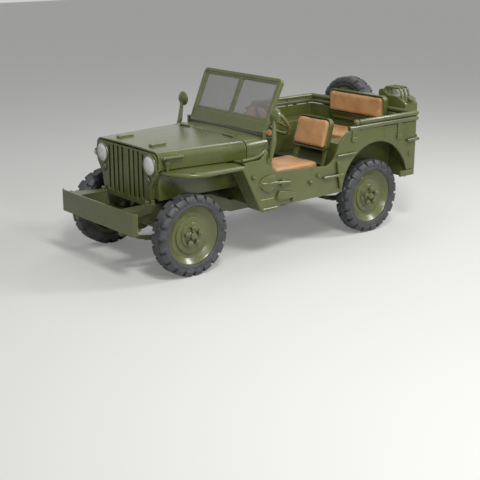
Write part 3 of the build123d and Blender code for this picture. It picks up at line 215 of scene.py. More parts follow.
def turned(form, outline, steps, centre=(0, 0, 0), axis=(0, 1, 0), closed=False):
    """Turn an outline all the way round an axis, as on a lathe, and close its seam and poles."""
    verts = [form.verts.new(point) for point in outline]
    edges = [form.edges.new(pair) for pair in zip(verts, verts[1:])]
    if closed:
        edges.append(form.edges.new((verts[-1], verts[0])))
    bmesh.ops.spin(form, geom=verts + edges, cent=centre, axis=axis, angle=2 * pi, steps=steps, use_merge=True)
    bmesh.ops.remove_doubles(form, verts=form.verts, dist=0.00002)
    bmesh.ops.recalc_face_normals(form, faces=form.faces)


def headed(form, spot, rows, edge):
    """Stack the head of a nut or bolt on a spot that faces sideways, and break its edges."""
    for sides, radius, tip, low, high in rows:
        there = Matrix.Translation(spot + Vector((0, (low + high) / 2, 0))) @ Matrix.Rotation(-pi / 2, 4, "X")
        made = bmesh.ops.create_cone(form, cap_ends=True, segments=sides, radius1=radius, radius2=tip,
                                     depth=high - low, matrix=there)
        rims = list({e for v in made["verts"] for e in v.link_edges})
        bmesh.ops.bevel(form, geom=rims, offset=edge, segments=2, profile=0.5, affect="EDGES", material=-1)


def placed(name, form, finish, body, nodes=(), smooth=35.0):
    """Make a finished bmesh a piece of the car that moves with a body."""
    mesh = form
    if isinstance(form, bmesh.types.BMesh):
        mesh = bpy.data.meshes.new(name)
        form.to_mesh(mesh)
        form.free()
    mesh.shade_smooth()
    mesh.set_sharp_from_angle(angle=radians(smooth))
    mesh.materials.append(finish)
    piece = bpy.data.objects.new(name, mesh)
    bpy.context.scene.collection.objects.link(piece)
    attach(piece, body)
    if nodes:
        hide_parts(*nodes)
    return piece


def rubber(name, colour, dusty, roughness):
    """Carbon-black rubber: nearly matt, greyed by scuffing, paler where dust stays in the grain."""
    made, tree, place = bare(name)
    # dust lies in patches of about 60 mm; the moulded grain is 1 mm and is drawn at 6 mm so that it shows
    patch = put(tree, "TexNoise", {"Vector": place, "Scale": 1 / 0.06, "Detail": 5.0, "Roughness": 0.65})["Fac"]
    patch = put(tree, "MapRange", {"Value": patch, 1: 0.38, 2: 0.70})[0]
    grain = put(tree, "TexNoise", {"Vector": place, "Scale": 1 / 0.006, "Detail": 3.0})["Fac"]
    tint = put(tree, "Mix", {0: patch, 6: linear(colour), 7: linear(dusty)}, data_type="RGBA")[2]
    matt = put(tree, "MapRange", {"Value": patch, 3: roughness - 0.12, 4: roughness + 0.08})[0]
    relief = put(tree, "Bump", {"Height": grain, "Strength": 0.12, "Distance": 0.0015})["Normal"]
    shader = put(tree, "BsdfPrincipled", {"Base Color": tint, "Roughness": matt, "Normal": relief,
                                          "IOR": 1.52})["BSDF"]
    put(tree, "OutputMaterial", {"Surface": shader})
    return made


tyre_rubber = rubber("scuffed_tyre_rubber", "#3e3f42", "#545557", 0.55)

bar = bmesh.new()
bar_face = bar.faces.new([bar.verts.new((r, y, 0.0)) for r, y in BAR])
bmesh.ops.spin(bar, geom=[bar_face] + bar_face.verts[:] + bar_face.edges[:], cent=(0, 0, 0), axis=(0, 1, 0),
               angle=2 * pi / BARS * BAR_SHARE, steps=4)
bmesh.ops.recalc_face_normals(bar, faces=bar.faces)
crisp = [e for e in bar.edges if e.is_manifold and e.calc_face_angle() > radians(24)]
bmesh.ops.bevel(bar, geom=crisp, offset=0.0028, segments=2, profile=0.5, affect="EDGES", material=-1)
tyre = bmesh.new()
ring = [(r, y, 0.0) for r, y in CARCASS] + [(r, -y, 0.0) for r, y in reversed(CARCASS[:-1])]
turned(tyre, ring, 96, closed=True)
bar_mesh = bpy.data.meshes.new("tyre_bar")
bar.to_mesh(bar_mesh)
bar.free()
for side, start in ((1, 0.0), (-1, 0.5)):
    for i in range(BARS):
        before = set(tyre.verts)
        tyre.from_mesh(bar_mesh)
        fresh = [v for v in tyre.verts if v not in before]
        bmesh.ops.scale(tyre, vec=(1, side, 1), verts=fresh)
        bmesh.ops.rotate(tyre, cent=(0, 0, 0), verts=fresh,
                         matrix=Matrix.Rotation(2 * pi * (i + start) / BARS, 3, "Y"))
bpy.data.meshes.remove(bar_mesh)
bmesh.ops.recalc_face_normals(tyre, faces=tyre.faces)
tyre_mesh = bpy.data.meshes.new("tyre_form")
tyre.to_mesh(tyre_mesh)
tyre.free()

rim = bmesh.new()
turned(rim, [(r, y, 0.0) for r, y in RIM_FACE], 72)
for i in range(5):
    turn = 2 * pi * i / 5 + pi / 2
    spot = Vector((NUT_CIRCLE * cos(turn), 0.0, NUT_CIRCLE * sin(turn)))
    headed(rim, spot, NUT, 0.0028)
bmesh.ops.recalc_face_normals(rim, faces=rim.faces)
rim_mesh = bpy.data.meshes.new("rim_form")
rim.to_mesh(rim_mesh)
rim.free()

WHEELS = [  # name, middle, turn about the vertical
    ("front_left", (FRONT_AXLE, TRACK_HALF, TYRE_R), 0), ("front_right", (FRONT_AXLE, -TRACK_HALF, TYRE_R), 180),
    ("rear_left", (FRONT_AXLE - WHEELBASE, TRACK_HALF, TYRE_R), 0),
    ("rear_right", (FRONT_AXLE - WHEELBASE, -TRACK_HALF, TYRE_R), 180),
    ("spare", (FRONT_AXLE - 2.760 + 0.078, -0.285, 0.938), 90),
]
for name, middle, turn in WHEELS:
    put_there = Matrix.Translation(middle) @ Matrix.Rotation(radians(turn), 4, "Z")
    nodes = ("spare_rim", "spare_tyre") if name == "spare" else ("rim_" + name, "tyre_" + name)
    for kind, source, finish, slot, replaced in (("rim", rim_mesh, body_paint, "body_green", nodes[0]),
                                                 ("tyre", tyre_mesh, tyre_rubber, "tyre", nodes[1])):
        mesh = source.copy()
        mesh.name = kind + "_made_" + name
        mesh.transform(put_there)
        placed(mesh.name, mesh, finish, frame["nodes"][replaced]["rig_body"], (replaced,), 30.0)
bpy.data.meshes.remove(rim_mesh)
bpy.data.meshes.remove(tyre_mesh)

# Engine, gearbox and exhaust: cast iron and steel plate, black from heat and oil. They hang in the frame under
# the floor and show only between the wheels and when the hood is up.
iron = enamel("oily_cast_iron", "#2c2d28", "#383930", "#54544a", "#6f6a58", "#101010", 0.6, 0.3, 0.4)
for name in ("engine", "gearbox", "exhaust"):
    plain(name, iron)

# Radiator: thin black-painted brass fins between two tanks, right behind the grille. The fins are 3 mm apart and
# are drawn 9 mm apart so that they show.
core, tree, place = bare("black_radiator_core")
across = put(tree, "SeparateXYZ", {0: place})["Z"]
fins = put(tree, "Math", {0: across, 1: 2 * pi / 0.009}, operation="MULTIPLY")[0]
fins = put(tree, "Math", {0: fins}, operation="SINE")[0]
depth = put(tree, "MapRange", {"Value": fins, 1: -1.0, 2: 1.0})[0]
# painted shade: the gaps between the fins are coloured darker than the fins
tint = put(tree, "Mix", {0: depth, 6: linear("#0b0c0a"), 7: linear("#1d1f19")}, data_type="RGBA")[2]
relief = put(tree, "Bump", {"Height": depth, "Strength": 0.5, "Distance": 0.002})["Normal"]
shader = put(tree, "BsdfPrincipled", {"Base Color": tint, "Roughness": 0.65, "Normal": relief})["BSDF"]
put(tree, "OutputMaterial", {"Surface": shader})
plain("radiator", core)

# Body tub: floor, wheel houses, side panels, rear panel, cowl and dashboard, pressed from sheet steel and welded,
# with rolled edges round the door openings.
# the floor's enamel is darker than the body's as painted shade for the shade inside the tub
floor_paint_with_painted_shade = enamel("floor_enamel_darkened_as_shade", "#34381b", "#3f4324", "#7a7f55", "#6f6951", "#14160a", 0.5, 0.6, 0.0)
rolled("floor", 0.002, floor_paint_with_painted_shade)
for name, edge in (("wheel_houses", 0.003), ("side_panel_left", 0.009), ("side_panel_right", 0.009),
                   ("rear_panel", 0.004), ("cowl", 0.004), ("dashboard", 0.003)):
    rolled(name, edge, body_paint)

# Instruments: five dials in the dashboard, each a black-painted steel face with a pale needle, held down by a
# bright ring that is pressed round it.
DIALS = [(-0.150, 0.024), (-0.075, 0.024), (0.0, 0.040), (0.075, 0.024), (0.150, 0.024)]
DIAL_FACE = FRONT_AXLE - 0.888
DIAL_Z = 0.962
black_face = rubber("black_dial_face", "#141414", "#1c1c1b", 0.5)
ring_paint = enamel("worn_bright_ring", "#8d8c84", "#9a9990", "#c2c1b8", "#8b8468", "#3a3a36", 0.3, 0.5, 0.0)
dial_faces = bmesh.new()
dial_rings = bmesh.new()
for y, radius in DIALS:
    middle = Vector((DIAL_FACE, y, DIAL_Z))
    face = [(-0.0012, 0.0), (-0.0012, radius - 0.003)]
    turned(dial_faces, [middle + Vector((x, 0, r)) for x, r in face], 32, middle, (1, 0, 0))
    lip = [(0.0, radius - 0.004), (-0.005, radius - 0.003), (-0.006, radius), (-0.004, radius + 0.002),
           (0.001, radius + 0.002)]
    turned(dial_rings, [middle + Vector((x, 0, r)) for x, r in lip], 32, middle, (1, 0, 0))
    pointing = Matrix.Rotation(radians(40 + 400 * y), 4, "X") @ Matrix.Translation((0, 0, radius * 0.3))
    bmesh.ops.create_cone(dial_rings, cap_ends=True, segments=4, radius1=0.0022, radius2=0.0006, depth=radius * 0.7,
                          matrix=Matrix.Translation(middle + Vector((-0.0025, 0, 0))) @ pointing)
placed("dial_faces", dial_faces, black_face, "chassis")
placed("dial_rings", dial_rings, ring_paint, "chassis")

# Front end: bent bumper plate, slotted grille, fenders and the hood that closes on them, and the rear bumperettes.
# All are pressed from sheet steel and bolted to the frame and the cowl.
NOSE = (FRONT_AXLE - 0.10, 0.44)
NOSE_LONG, NOSE_WIDE = 0.2475, 0.2775
FENDER_EDGE = NOSE[1] + NOSE_WIDE
FENDER_TOP, FENDER_LOW = 0.8505, 0.812
BEND_FROM, BEND_OVER = 0.86, 0.09  # the share of the way out at which the edge starts to move, and over which
for name, edge in (("front_bumper", 0.004), ("rear_bumperettes", 0.004), ("grille", 0.009), ("hood", 0.004)):
    rolled(name, edge, body_paint)


def round_nose(form):
    """Draw a fender's outer edge in to the middle of its bead, with a quarter of an ellipse round the nose."""
    side = 1 if sum(v.co.y for v in form.verts) > 0 else -1
    fan = [radians(6 * i) for i in range(16)]
    for turn in fan:
        bmesh.ops.bisect_plane(form, geom=form.verts[:] + form.edges[:] + form.faces[:], dist=0.00001,
                               plane_co=(NOSE[0], side * NOSE[1], 0), plane_no=(sin(turn), -side * cos(turn), 0))
    corner = []
    for v in form.verts:
        ahead, out = v.co.x - NOSE[0], side * v.co.y - NOSE[1]
        if ahead > -0.00001 and out > 0.0005 and FENDER_LOW < v.co.z < FENDER_TOP:
            corner.append((v, Vector((ahead, out)).length, atan2(out, ahead)))
    reach = {}
    for v, far, turn in corner:
        reach[round(turn / fan[1])] = max(far, reach.get(round(turn / fan[1]), 0.0))
    for v, far, turn in corner:
        share, step = modf(turn / fan[1])
        edge = reach[int(step)] * (1 - share) + reach[min(int(step) + 1, len(fan) - 1)] * share
        drawn = 1 / Vector((cos(turn) / NOSE_LONG, sin(turn) / NOSE_WIDE)).length
        pull = min(max((far / edge - BEND_FROM) / BEND_OVER, 0.0), 1.0)
        far *= 1 + pull * (drawn / edge - 1)
        v.co.x, v.co.y = NOSE[0] + far * cos(turn), side * (NOSE[1] + far * sin(turn))
    for v in form.verts:
        if side * v.co.y > FENDER_EDGE:
            v.co.y = side * FENDER_EDGE
    bmesh.ops.dissolve_degenerate(form, dist=0.0002, edges=form.edges)


for name in ("fender_left", "fender_right"):
    rolled(name, 0.003, body_paint, shape=round_nose)

# Beads: the fender's edge is rolled round a wire, from the nose along the side, down the slope and back under the
# step. Each is one tube along a smooth curve.
BEAD_R = 0.0174
BEAD_Z, STEP_Z = 0.8322, 0.4455
NOSE_RUN = [(NOSE[0] + NOSE_LONG * cos(radians(t)), NOSE[1] + NOSE_WIDE * sin(radians(t)), BEAD_Z)
            for t in range(0, 91, 10)]
SIDE_RUN = [(-0.25, BEAD_Z), (-0.40, BEAD_Z), (-0.442, BEAD_Z), (-0.456, 0.828), (-0.476, 0.792), (-0.56, 0.632),
            (-0.638, 0.482), (-0.655, 0.449), (-0.672, STEP_Z), (-0.74, STEP_Z), (-0.82, STEP_Z)]


def tube(name, runs, radius, finish, body):
    """Bend smooth round tubes along lists of points, with closed ends."""
    curve = bpy.data.curves.new(name, "CURVE")
    curve.dimensions = "3D"
    curve.bevel_depth = radius
    curve.bevel_resolution = 5
    curve.use_fill_caps = True
    for points in runs:
        spline = curve.splines.new("NURBS")
        spline.points.add(len(points) - 1)
        for knot, point in zip(spline.points, points):
            knot.co = (*point, 1.0)
        spline.order_u = 3
        spline.use_endpoint_u = True
        spline.resolution_u = 5
    bent = bpy.data.objects.new(name, curve)
    bpy.context.scene.collection.objects.link(bent)
    bpy.context.view_layer.update()
    mesh = bpy.data.meshes.new_from_object(bent.evaluated_get(bpy.context.evaluated_depsgraph_get()))
    bpy.data.objects.remove(bent)
    bpy.data.curves.remove(curve)
    form = bmesh.new()
    form.from_mesh(mesh)
    bpy.data.meshes.remove(mesh)
    bmesh.ops.remove_doubles(form, verts=form.verts, dist=WELD)
    bmesh.ops.recalc_face_normals(form, faces=form.faces)
    return placed(name, form, finish, body, (), 50.0)


bead_run = NOSE_RUN + [(FRONT_AXLE + x, FENDER_EDGE, z) for x, z in SIDE_RUN]
tube("fender_beads", [[(x, side * y, z) for x, y, z in bead_run] for side in (1, -1)], BEAD_R, body_paint,
     "chassis")

# Baffles: a thin painted steel sheet on each side of the radiator, bolted on, that closes the gap between the
# grille and the fender's apron.
BAFFLE = [(0.268, 0.604), (0.408, 0.604), (0.408, 0.846), (0.268, 0.846)]
BAFFLE_X, BAFFLE_T = FRONT_AXLE + 0.1485, 0.004
baffles = bmesh.new()
sheet = baffles.faces.new([baffles.verts.new((BAFFLE_X, y, z)) for y, z in BAFFLE])
grown = bmesh.ops.extrude_face_region(baffles, geom=[sheet])
moved = [v for v in grown["geom"] if isinstance(v, bmesh.types.BMVert)]
bmesh.ops.translate(baffles, vec=(BAFFLE_T, 0, 0), verts=moved)
bmesh.ops.recalc_face_normals(baffles, faces=baffles.faces)
bmesh.ops.bevel(baffles, geom=baffles.edges[:], offset=0.001, segments=2, profile=0.5, affect="EDGES", material=-1)


def both_sides(form):
    """Mirror a left-hand form on to the right-hand side."""
    bmesh.ops.mirror(form, geom=form.verts[:] + form.edges[:] + form.faces[:], axis="Y", merge_dist=0.0)
    bmesh.ops.recalc_face_normals(form, faces=form.faces)


both_sides(baffles)
placed("radiator_baffles", baffles, body_paint, "chassis")

# Head lamps: a bright reflector behind a domed glass lens with moulded flutes, clamped by a painted ring into the
# grille. Below each is an oval marker lamp with a small dull lens.
LAMP = Vector((FRONT_AXLE + 0.195, 0.344, 0.884))
LAMP_RING = [(-0.006, 0.0800), (-0.006, 0.0880), (0.006, 0.0880), (0.0105, 0.0850), (0.0120, 0.0800), (0.0105, 0.0755),
             (0.0060, 0.0735), (-0.006, 0.0735)]
LENS = [(0.0220, 0.0), (0.0214, 0.0200), (0.0196, 0.0380), (0.0165, 0.0540), (0.0125, 0.0660), (0.0075, 0.0742),
        (0.0030, 0.0742)]
BOWL = [(0.0040, 0.0738), (-0.0140, 0.0640), (-0.0280, 0.0480), (-0.0360, 0.0300), (-0.0390, 0.0)]
MARKER = Vector((FRONT_AXLE + 0.195, 0.320, 0.760))
MARKER_RING = [(-0.002, 0.034), (0.010, 0.034), (0.013, 0.031), (0.013, 0.027), (0.004, 0.024)]
MARKER_LENS = [(0.016, 0.0), (0.0150, 0.012), (0.0120, 0.020), (0.006, 0.0265)]
MARKER_OVAL = 0.86  # width for a height of 1

silver, tree, place = bare("silvered_reflector")
haze = put(tree, "TexNoise", {"Vector": place, "Scale": 1 / 0.03, "Detail": 3.0})["Fac"]
haze = put(tree, "MapRange", {"Value": haze, 1: 0.3, 2: 0.7, 3: 0.10, 4: 0.22})[0]
shader = put(tree, "BsdfPrincipled", {"Base Color": linear("#eceded"), "Metallic": 1.0, "Roughness": haze})["BSDF"]
put(tree, "OutputMaterial", {"Surface": shader})

# moulded lamp glass with vertical flutes about 10 mm apart; it is coloured near white and lets a quarter of the light
# through, the white being a painted reflection of the lamp's bright reflector
lamp_glass, tree, place = bare("fluted_lamp_glass")
side = put(tree, "SeparateXYZ", {0: place})["Y"]
flute = put(tree, "Math", {0: side, 1: 2 * pi / 0.010}, operation="MULTIPLY")[0]
flute = put(tree, "Math", {0: flute}, operation="SINE")[0]
relief = put(tree, "Bump", {"Height": flute, "Strength": 0.25, "Distance": 0.0012})["Normal"]
shader = put(tree, "BsdfPrincipled", {"Base Color": linear("#fbfcfc"), "Roughness": 0.06, "IOR": 1.5,
                                      "Transmission Weight": 0.25, "Normal": relief})["BSDF"]
put(tree, "OutputMaterial", {"Surface": shader})
marker_glass = enamel("dull_marker_glass", "#55504a", "#67605a", "#8d877e", "#8b8468", "#26221f", 0.18, 0.3, 0.0)

lamp_rings, lenses, bowls = bmesh.new(), bmesh.new(), bmesh.new()
for form, outline, closed in ((lamp_rings, LAMP_RING, True), (lenses, LENS, False), (bowls, BOWL, False)):
    turned(form, [LAMP + Vector((x, 0, r)) for x, r in outline], 56, LAMP, (1, 0, 0), closed)
marker_rings, marker_lenses = bmesh.new(), bmesh.new()
for form, outline in ((marker_rings, MARKER_RING), (marker_lenses, MARKER_LENS)):
    turned(form, [MARKER + Vector((x, 0, r)) for x, r in outline], 40, MARKER, (1, 0, 0))
    bmesh.ops.scale(form, vec=(1, MARKER_OVAL, 1), space=Matrix.Translation(-MARKER), verts=form.verts)
for form in (lamp_rings, lenses, bowls, marker_rings, marker_lenses):
    both_sides(form)
placed("lamp_rings", lamp_rings, body_paint, "chassis", ("lamps",))
placed("lamp_lenses", lenses, lamp_glass, "chassis")
placed("lamp_reflectors", bowls, silver, "chassis")
placed("marker_rings", marker_rings, body_paint, "chassis")
placed("marker_lenses", marker_lenses, marker_glass, "chassis")

# Windshield: a steel frame that leans back on its hinges, with two flat panes held by painted steel strips, and a
# rubber seal on the cowl under it.
LEAN = radians(24.6)
SHIELD = Matrix.Translation((FRONT_AXLE - 0.850, 0, 1.048)) @ Matrix((
    (0, -sin(LEAN), cos(LEAN), 0), (1, 0, 0, 0), (0, cos(LEAN), sin(LEAN), 0), (0, 0, 0, 1)))
PANE_W, PANE_H = 0.456, 0.316
PANE_Y, PANE_UP = 0.246, 0.270
PANE_THICK, PANE_FRONT = 0.006, -0.015
STRIP_THICK, STRIP_FRONT, STRIP_WIDE = 0.014, -0.011, 0.008
CORNER_R = 0.016
SILL = [(-0.859, 1.004), (-0.859, 1.026), (-0.855, 1.0325), (-0.847, 1.0345), (-0.839, 1.0325), (-0.8345, 1.025),
        (-0.8335, 1.004)]
SILL_HALF, SILL_STEPS = 0.500, 10
rolled("windshield_frame", 0.005, body_paint)

# plate glass: thin, faintly grey and dusty, so that it veils what is behind it
pane_glass, tree, place = bare("dusty_plate_glass")
# the film of dust lies in clouds of about 450 mm
film = put(tree, "TexNoise", {"Vector": place, "Scale": 1 / 0.45, "Detail": 2.0, "Roughness": 0.5})["Fac"]
tint = put(tree, "Mix", {0: film, 6: linear("#8e8f8f"), 7: linear("#9b9b9a")}, data_type="RGBA")[2]
veil = put(tree, "MapRange", {"Value": film, 3: 0.50, 4: 0.60})[0]
shader = put(tree, "BsdfPrincipled", {"Base Color": tint, "Roughness": 0.12, "IOR": 1.5, "Alpha": veil})["BSDF"]
put(tree, "OutputMaterial", {"Surface": shader})
seal_rubber = rubber("black_seal_rubber", "#2c2f34", "#3c3f44", 0.5)

panes, strips = bmesh.new(), bmesh.new()
for side in (-1, 1):
    for form, thick, front in ((panes, PANE_THICK, PANE_FRONT), (strips, STRIP_THICK, STRIP_FRONT)):
        pane = bmesh.new()
        bmesh.ops.create_grid(pane, x_segments=1, y_segments=1, size=0.5)
        bmesh.ops.scale(pane, vec=(PANE_W, PANE_H, 1), verts=pane.verts)
        bmesh.ops.bevel(pane, geom=pane.verts[:], offset=CORNER_R, segments=5, profile=0.5, affect="VERTICES",
                        material=-1)
        if form is strips:
            ring = bmesh.ops.inset_individual(pane, faces=pane.faces[:], thickness=STRIP_WIDE,
                                              use_even_offset=True)
            keep = set(ring["faces"])
            bmesh.ops.delete(pane, geom=[f for f in pane.faces if f not in keep], context="FACES")
        bmesh.ops.recalc_face_normals(pane, faces=pane.faces)
        bmesh.ops.solidify(pane, geom=pane.faces[:], thickness=thick)
        bmesh.ops.recalc_face_normals(pane, faces=pane.faces)
        lift = Matrix.Translation((side * PANE_Y, PANE_UP, front))
        bmesh.ops.transform(pane, matrix=SHIELD @ lift, verts=pane.verts)
        whole = bpy.data.meshes.new("pane")
        pane.to_mesh(whole)
        pane.free()
        form.from_mesh(whole)
        bpy.data.meshes.remove(whole)
placed("windshield_panes", panes, pane_glass, "windshield", ("windshield_glass",), 20.0)
placed("pane_strips", strips, body_paint, "windshield", (), 20.0)

sill = bmesh.new()
lip = sill.faces.new([sill.verts.new((FRONT_AXLE + x, -SILL_HALF, z)) for x, z in SILL])
for step in range(SILL_STEPS):
    grown = bmesh.ops.extrude_face_region(sill, geom=[lip])
    moved = [v for v in grown["geom"] if isinstance(v, bmesh.types.BMVert)]
    bmesh.ops.translate(sill, vec=(0, 2 * SILL_HALF / SILL_STEPS, 0), verts=moved)
    lip = [f for f in grown["geom"] if isinstance(f, bmesh.types.BMFace)][0]
bmesh.ops.recalc_face_normals(sill, faces=sill.faces)
placed("windshield_seal", sill, seal_rubber, "chassis", (), 50.0)

# Steering wheel: a thick painted ring on three flat steel spokes, welded to a dished hub with a button. The hub is
# held on the column by one nut under the button.
HUB = Vector((FRONT_AXLE - 1.120, 0.320, 1.100))
DIP = radians(40)
STEER = Matrix.Translation(HUB) @ Matrix((
    (0, sin(DIP), -cos(DIP), 0), (1, 0, 0, 0), (0, cos(DIP), sin(DIP), 0), (0, 0, 0, 1)))
GRIP_R, GRIP = 0.177, 0.0158
SPOKE, SPOKE_MIDDLE, SPOKE_FLARE = (0.142, 0.018, 0.0095), 0.097, 1.45
helm = bmesh.new()
round_grip = [(GRIP_R + GRIP * cos(pi * i / 7), 0, GRIP * sin(pi * i / 7)) for i in range(14)]
turned(helm, round_grip, 64, (0, 0, 0), (0, 0, 1), True)
hub_outline = [(0.0, 0.0195), (0.012, 0.0190), (0.017, 0.0160), (0.019, 0.0140), (0.027, 0.0130), (0.0315, 0.0080),
               (0.0318, -0.0195), (0.0, -0.0195)]
turned(helm, [(r, 0, z) for r, z in hub_outline], 40, (0, 0, 0), (0, 0, 1))
for turn in (90, 210, 330):
    spoke = bmesh.ops.create_cube(helm, size=1.0)["verts"]
    bmesh.ops.scale(helm, vec=SPOKE, verts=spoke)
    for v in spoke:
        if v.co.x < 0:
            v.co.y *= SPOKE_FLARE
    edges = list({e for v in spoke for e in v.link_edges if abs(e.verts[0].co.x - e.verts[1].co.x) > SPOKE[1]})
    bmesh.ops.translate(helm, vec=(SPOKE_MIDDLE, 0, 0), verts=spoke)
    bmesh.ops.rotate(helm, cent=(0, 0, 0), matrix=Matrix.Rotation(radians(turn), 3, "Z"), verts=spoke)
    bmesh.ops.bevel(helm, geom=edges, offset=0.0035, segments=3, profile=0.5, affect="EDGES", material=-1)
bmesh.ops.transform(helm, matrix=STEER, verts=helm.verts)
bmesh.ops.recalc_face_normals(helm, faces=helm.faces)
placed("steering_wheel_made", helm, body_paint, "steering_wheel", ("steering_wheel",))

# Seat frames and fittings: tube legs, trays and levers, the mirrors' bowls and arms, folded top bows, the can on
# its tray, tools and handles, all sprayed with the body.
WHOLE, ARMS = (0.0, 2.0), (0.95, 1.12)  # heights between which a piece is thickened
FITTINGS = [  # node, edge, how much thicker, where
    ("driver_seat_frame", 0.004, 0.0, WHOLE), ("passenger_seat_frame", 0.004, 0.0, WHOLE),
    ("rear_seat_frame", 0.004, 0.0, WHOLE), ("gear_levers", 0.002, 0.0, WHOLE), ("mirror_left", 0.003, 0.006, ARMS),
    ("mirror_right", 0.003, 0.006, ARMS), ("top_bows", 0.003, 0.005, WHOLE), ("fuel_can", 0.010, 0.0, WHOLE),
    ("tools", 0.003, 0.0, WHOLE), ("body_handles", 0.003, 0.0, WHOLE),
]
for name, edge, swell, between in FITTINGS:
    rolled(name, edge, body_paint, swell=swell, between=between)

# Shovel blade and axe head: forged steel, painted over. The blade is hollow behind with a pressed socket down its
# middle; both lie on the left side panel under the clamps.
BODY_HALF = 0.704
BLADE_TIP, BLADE_LONG, BLADE_WIDE, BLADE_Z = FRONT_AXLE - 0.630, 0.178, 0.150, 0.660
BLADE_CROWN, BLADE_T, BLADE_DROP = 0.0215, 0.003, 0.010
SOCKET_HIGH, SOCKET_HALF = 0.0075, 0.020
AXE = [(-0.818, 0.516), (-0.848, 0.586), (-1.006, 0.552), (-1.006, 0.498), (-0.850, 0.504)]
AXE_T, AXE_ROUND = 0.0285, 0.013
blade = bmesh.new()
bmesh.ops.create_grid(blade, x_segments=22, y_segments=24, size=0.5)
for v in blade.verts:
    along, across = v.co.x + 0.5, 2 * v.co.y
    half = BLADE_WIDE / 2 * (1 - (1 - along) ** 1.9) ** 0.75
    crown = BLADE_CROWN * (1 - abs(across) ** 1.3) * min(1.0, along * 2.4) ** 0.6
    socket = SOCKET_HIGH * max(0.0, 1 - (across * half / SOCKET_HALF) ** 2) ** 0.5 * min(1.0, along * 2.0)
    v.co = (BLADE_TIP - BLADE_LONG * along, BODY_HALF + 0.0010 + crown + socket,
            BLADE_Z - BLADE_DROP * along + across * half)
bmesh.ops.remove_doubles(blade, verts=blade.verts, dist=0.00005)
bmesh.ops.recalc_face_normals(blade, faces=blade.faces)
if blade.faces[len(blade.faces) // 2].normal.y < 0:
    bmesh.ops.reverse_faces(blade, faces=blade.faces)
bmesh.ops.solidify(blade, geom=blade.faces[:], thickness=BLADE_T)
axe = blade.faces.new([blade.verts.new((FRONT_AXLE + x, BODY_HALF, z)) for x, z in AXE])
grown = bmesh.ops.extrude_face_region(blade, geom=[axe])
raised = [g for g in grown["geom"] if isinstance(g, bmesh.types.BMVert)]
bmesh.ops.translate(blade, vec=(0, AXE_T, 0), verts=raised)
crest = [e for e in blade.edges if all(v in raised for v in e.verts)]
bmesh.ops.bevel(blade, geom=crest, offset=AXE_ROUND, segments=5, profile=0.5, affect="EDGES", material=-1)
bmesh.ops.recalc_face_normals(blade, faces=blade.faces)
placed("tool_heads", blade, body_paint, "chassis", (), 40.0)

# Bolts and shoulder tubes: hexagon heads on thick washers, screwed through the left side panel, and the round
# steel tubes that are welded along the cowl's shoulders to stiffen them.
BOLTS = [(-0.576, 0.730), (-1.215, 0.596), (-1.308, 0.642), (-1.012, 0.478)]
BOLT = [(24, 0.0185, 0.0170, 0.7030, 0.7210), (6, 0.0140, 0.0140, 0.7200, 0.7320)]  # washer, head
SHOULDER = [(-0.490, 0.668, 0.8765), (-0.540, 0.668, 0.8790), (-0.620, 0.670, 0.8830), (-0.680, 0.674, 0.9000),
            (-0.728, 0.680, 0.9360)]
SHOULDER_R = 0.0135
bolts = bmesh.new()
for x, z in BOLTS:
    headed(bolts, Vector((FRONT_AXLE + x, 0, z)), BOLT, 0.0015)
placed("side_bolts", bolts, body_paint, "chassis", (), 30.0)
tube("shoulder_tubes", [[(FRONT_AXLE + x, side * y, z) for x, y, z in SHOULDER] for side in (1, -1)], SHOULDER_R,
     body_paint, "chassis")

# Mirror glass: a disc of glass, silvered behind, that is slightly domed. It lies in the back of each bowl and is
# held by the bowl's rim.
MIRRORS = [(FRONT_AXLE - 0.835, 0.660, 1.200), (FRONT_AXLE - 0.835, -0.600, 1.200)]
MIRROR_DOME = [(-0.0165, 0.0), (-0.0160, 0.030), (-0.0145, 0.056)]
looking = bmesh.new()
for head in MIRRORS:
    turned(looking, [Vector(head) + Vector((x, 0, r)) for x, r in MIRROR_DOME], 40, head, (1, 0, 0))
placed("mirror_glass", looking, silver, "chassis")

# Seat pads: tan coated cotton over hair stuffing, sewn shut and dropped into the trays and on to the pans. The
# covers are slack enough to wrinkle where people sit.
BACK_POINT, BACK_LEAN = (FRONT_AXLE - 1.548, 0, 0.800), radians(15)
BACK_NORMAL = (cos(BACK_LEAN), 0, sin(BACK_LEAN))
PADS = [  # node, a point and the normal of the plane that it rests on, how far its cover may move
    ("driver_seat_pads", (0, 0, 0.656), (0, 0, 1), 0.012), ("passenger_seat_pads", (0, 0, 0.656), (0, 0, 1), 0.012),
    ("rear_seat_pad", (0, 0, 0.766), (0, 0, 1), 0.012), ("driver_back_pad", BACK_POINT, BACK_NORMAL, 0.009),
    ("passenger_back_pad", BACK_POINT, BACK_NORMAL, 0.009),
    ("rear_back_pad", (FRONT_AXLE - 2.508, 0, 0.940), (1, 0, 0), 0.009),
]
GIVE, THIN = 0.30, 0.12  # the share of the slack that a bag starts smaller by, and the size below which it is halved
FOLD_DEEP, REST_GAP = 0.0035, 0.0004
VOXEL = 0.006

# coated duck: a plain weave under a dull tan coating, 1.2 mm threads drawn 5 mm wide so that they show
seat_cloth, tree, place = bare("tan_coated_duck")
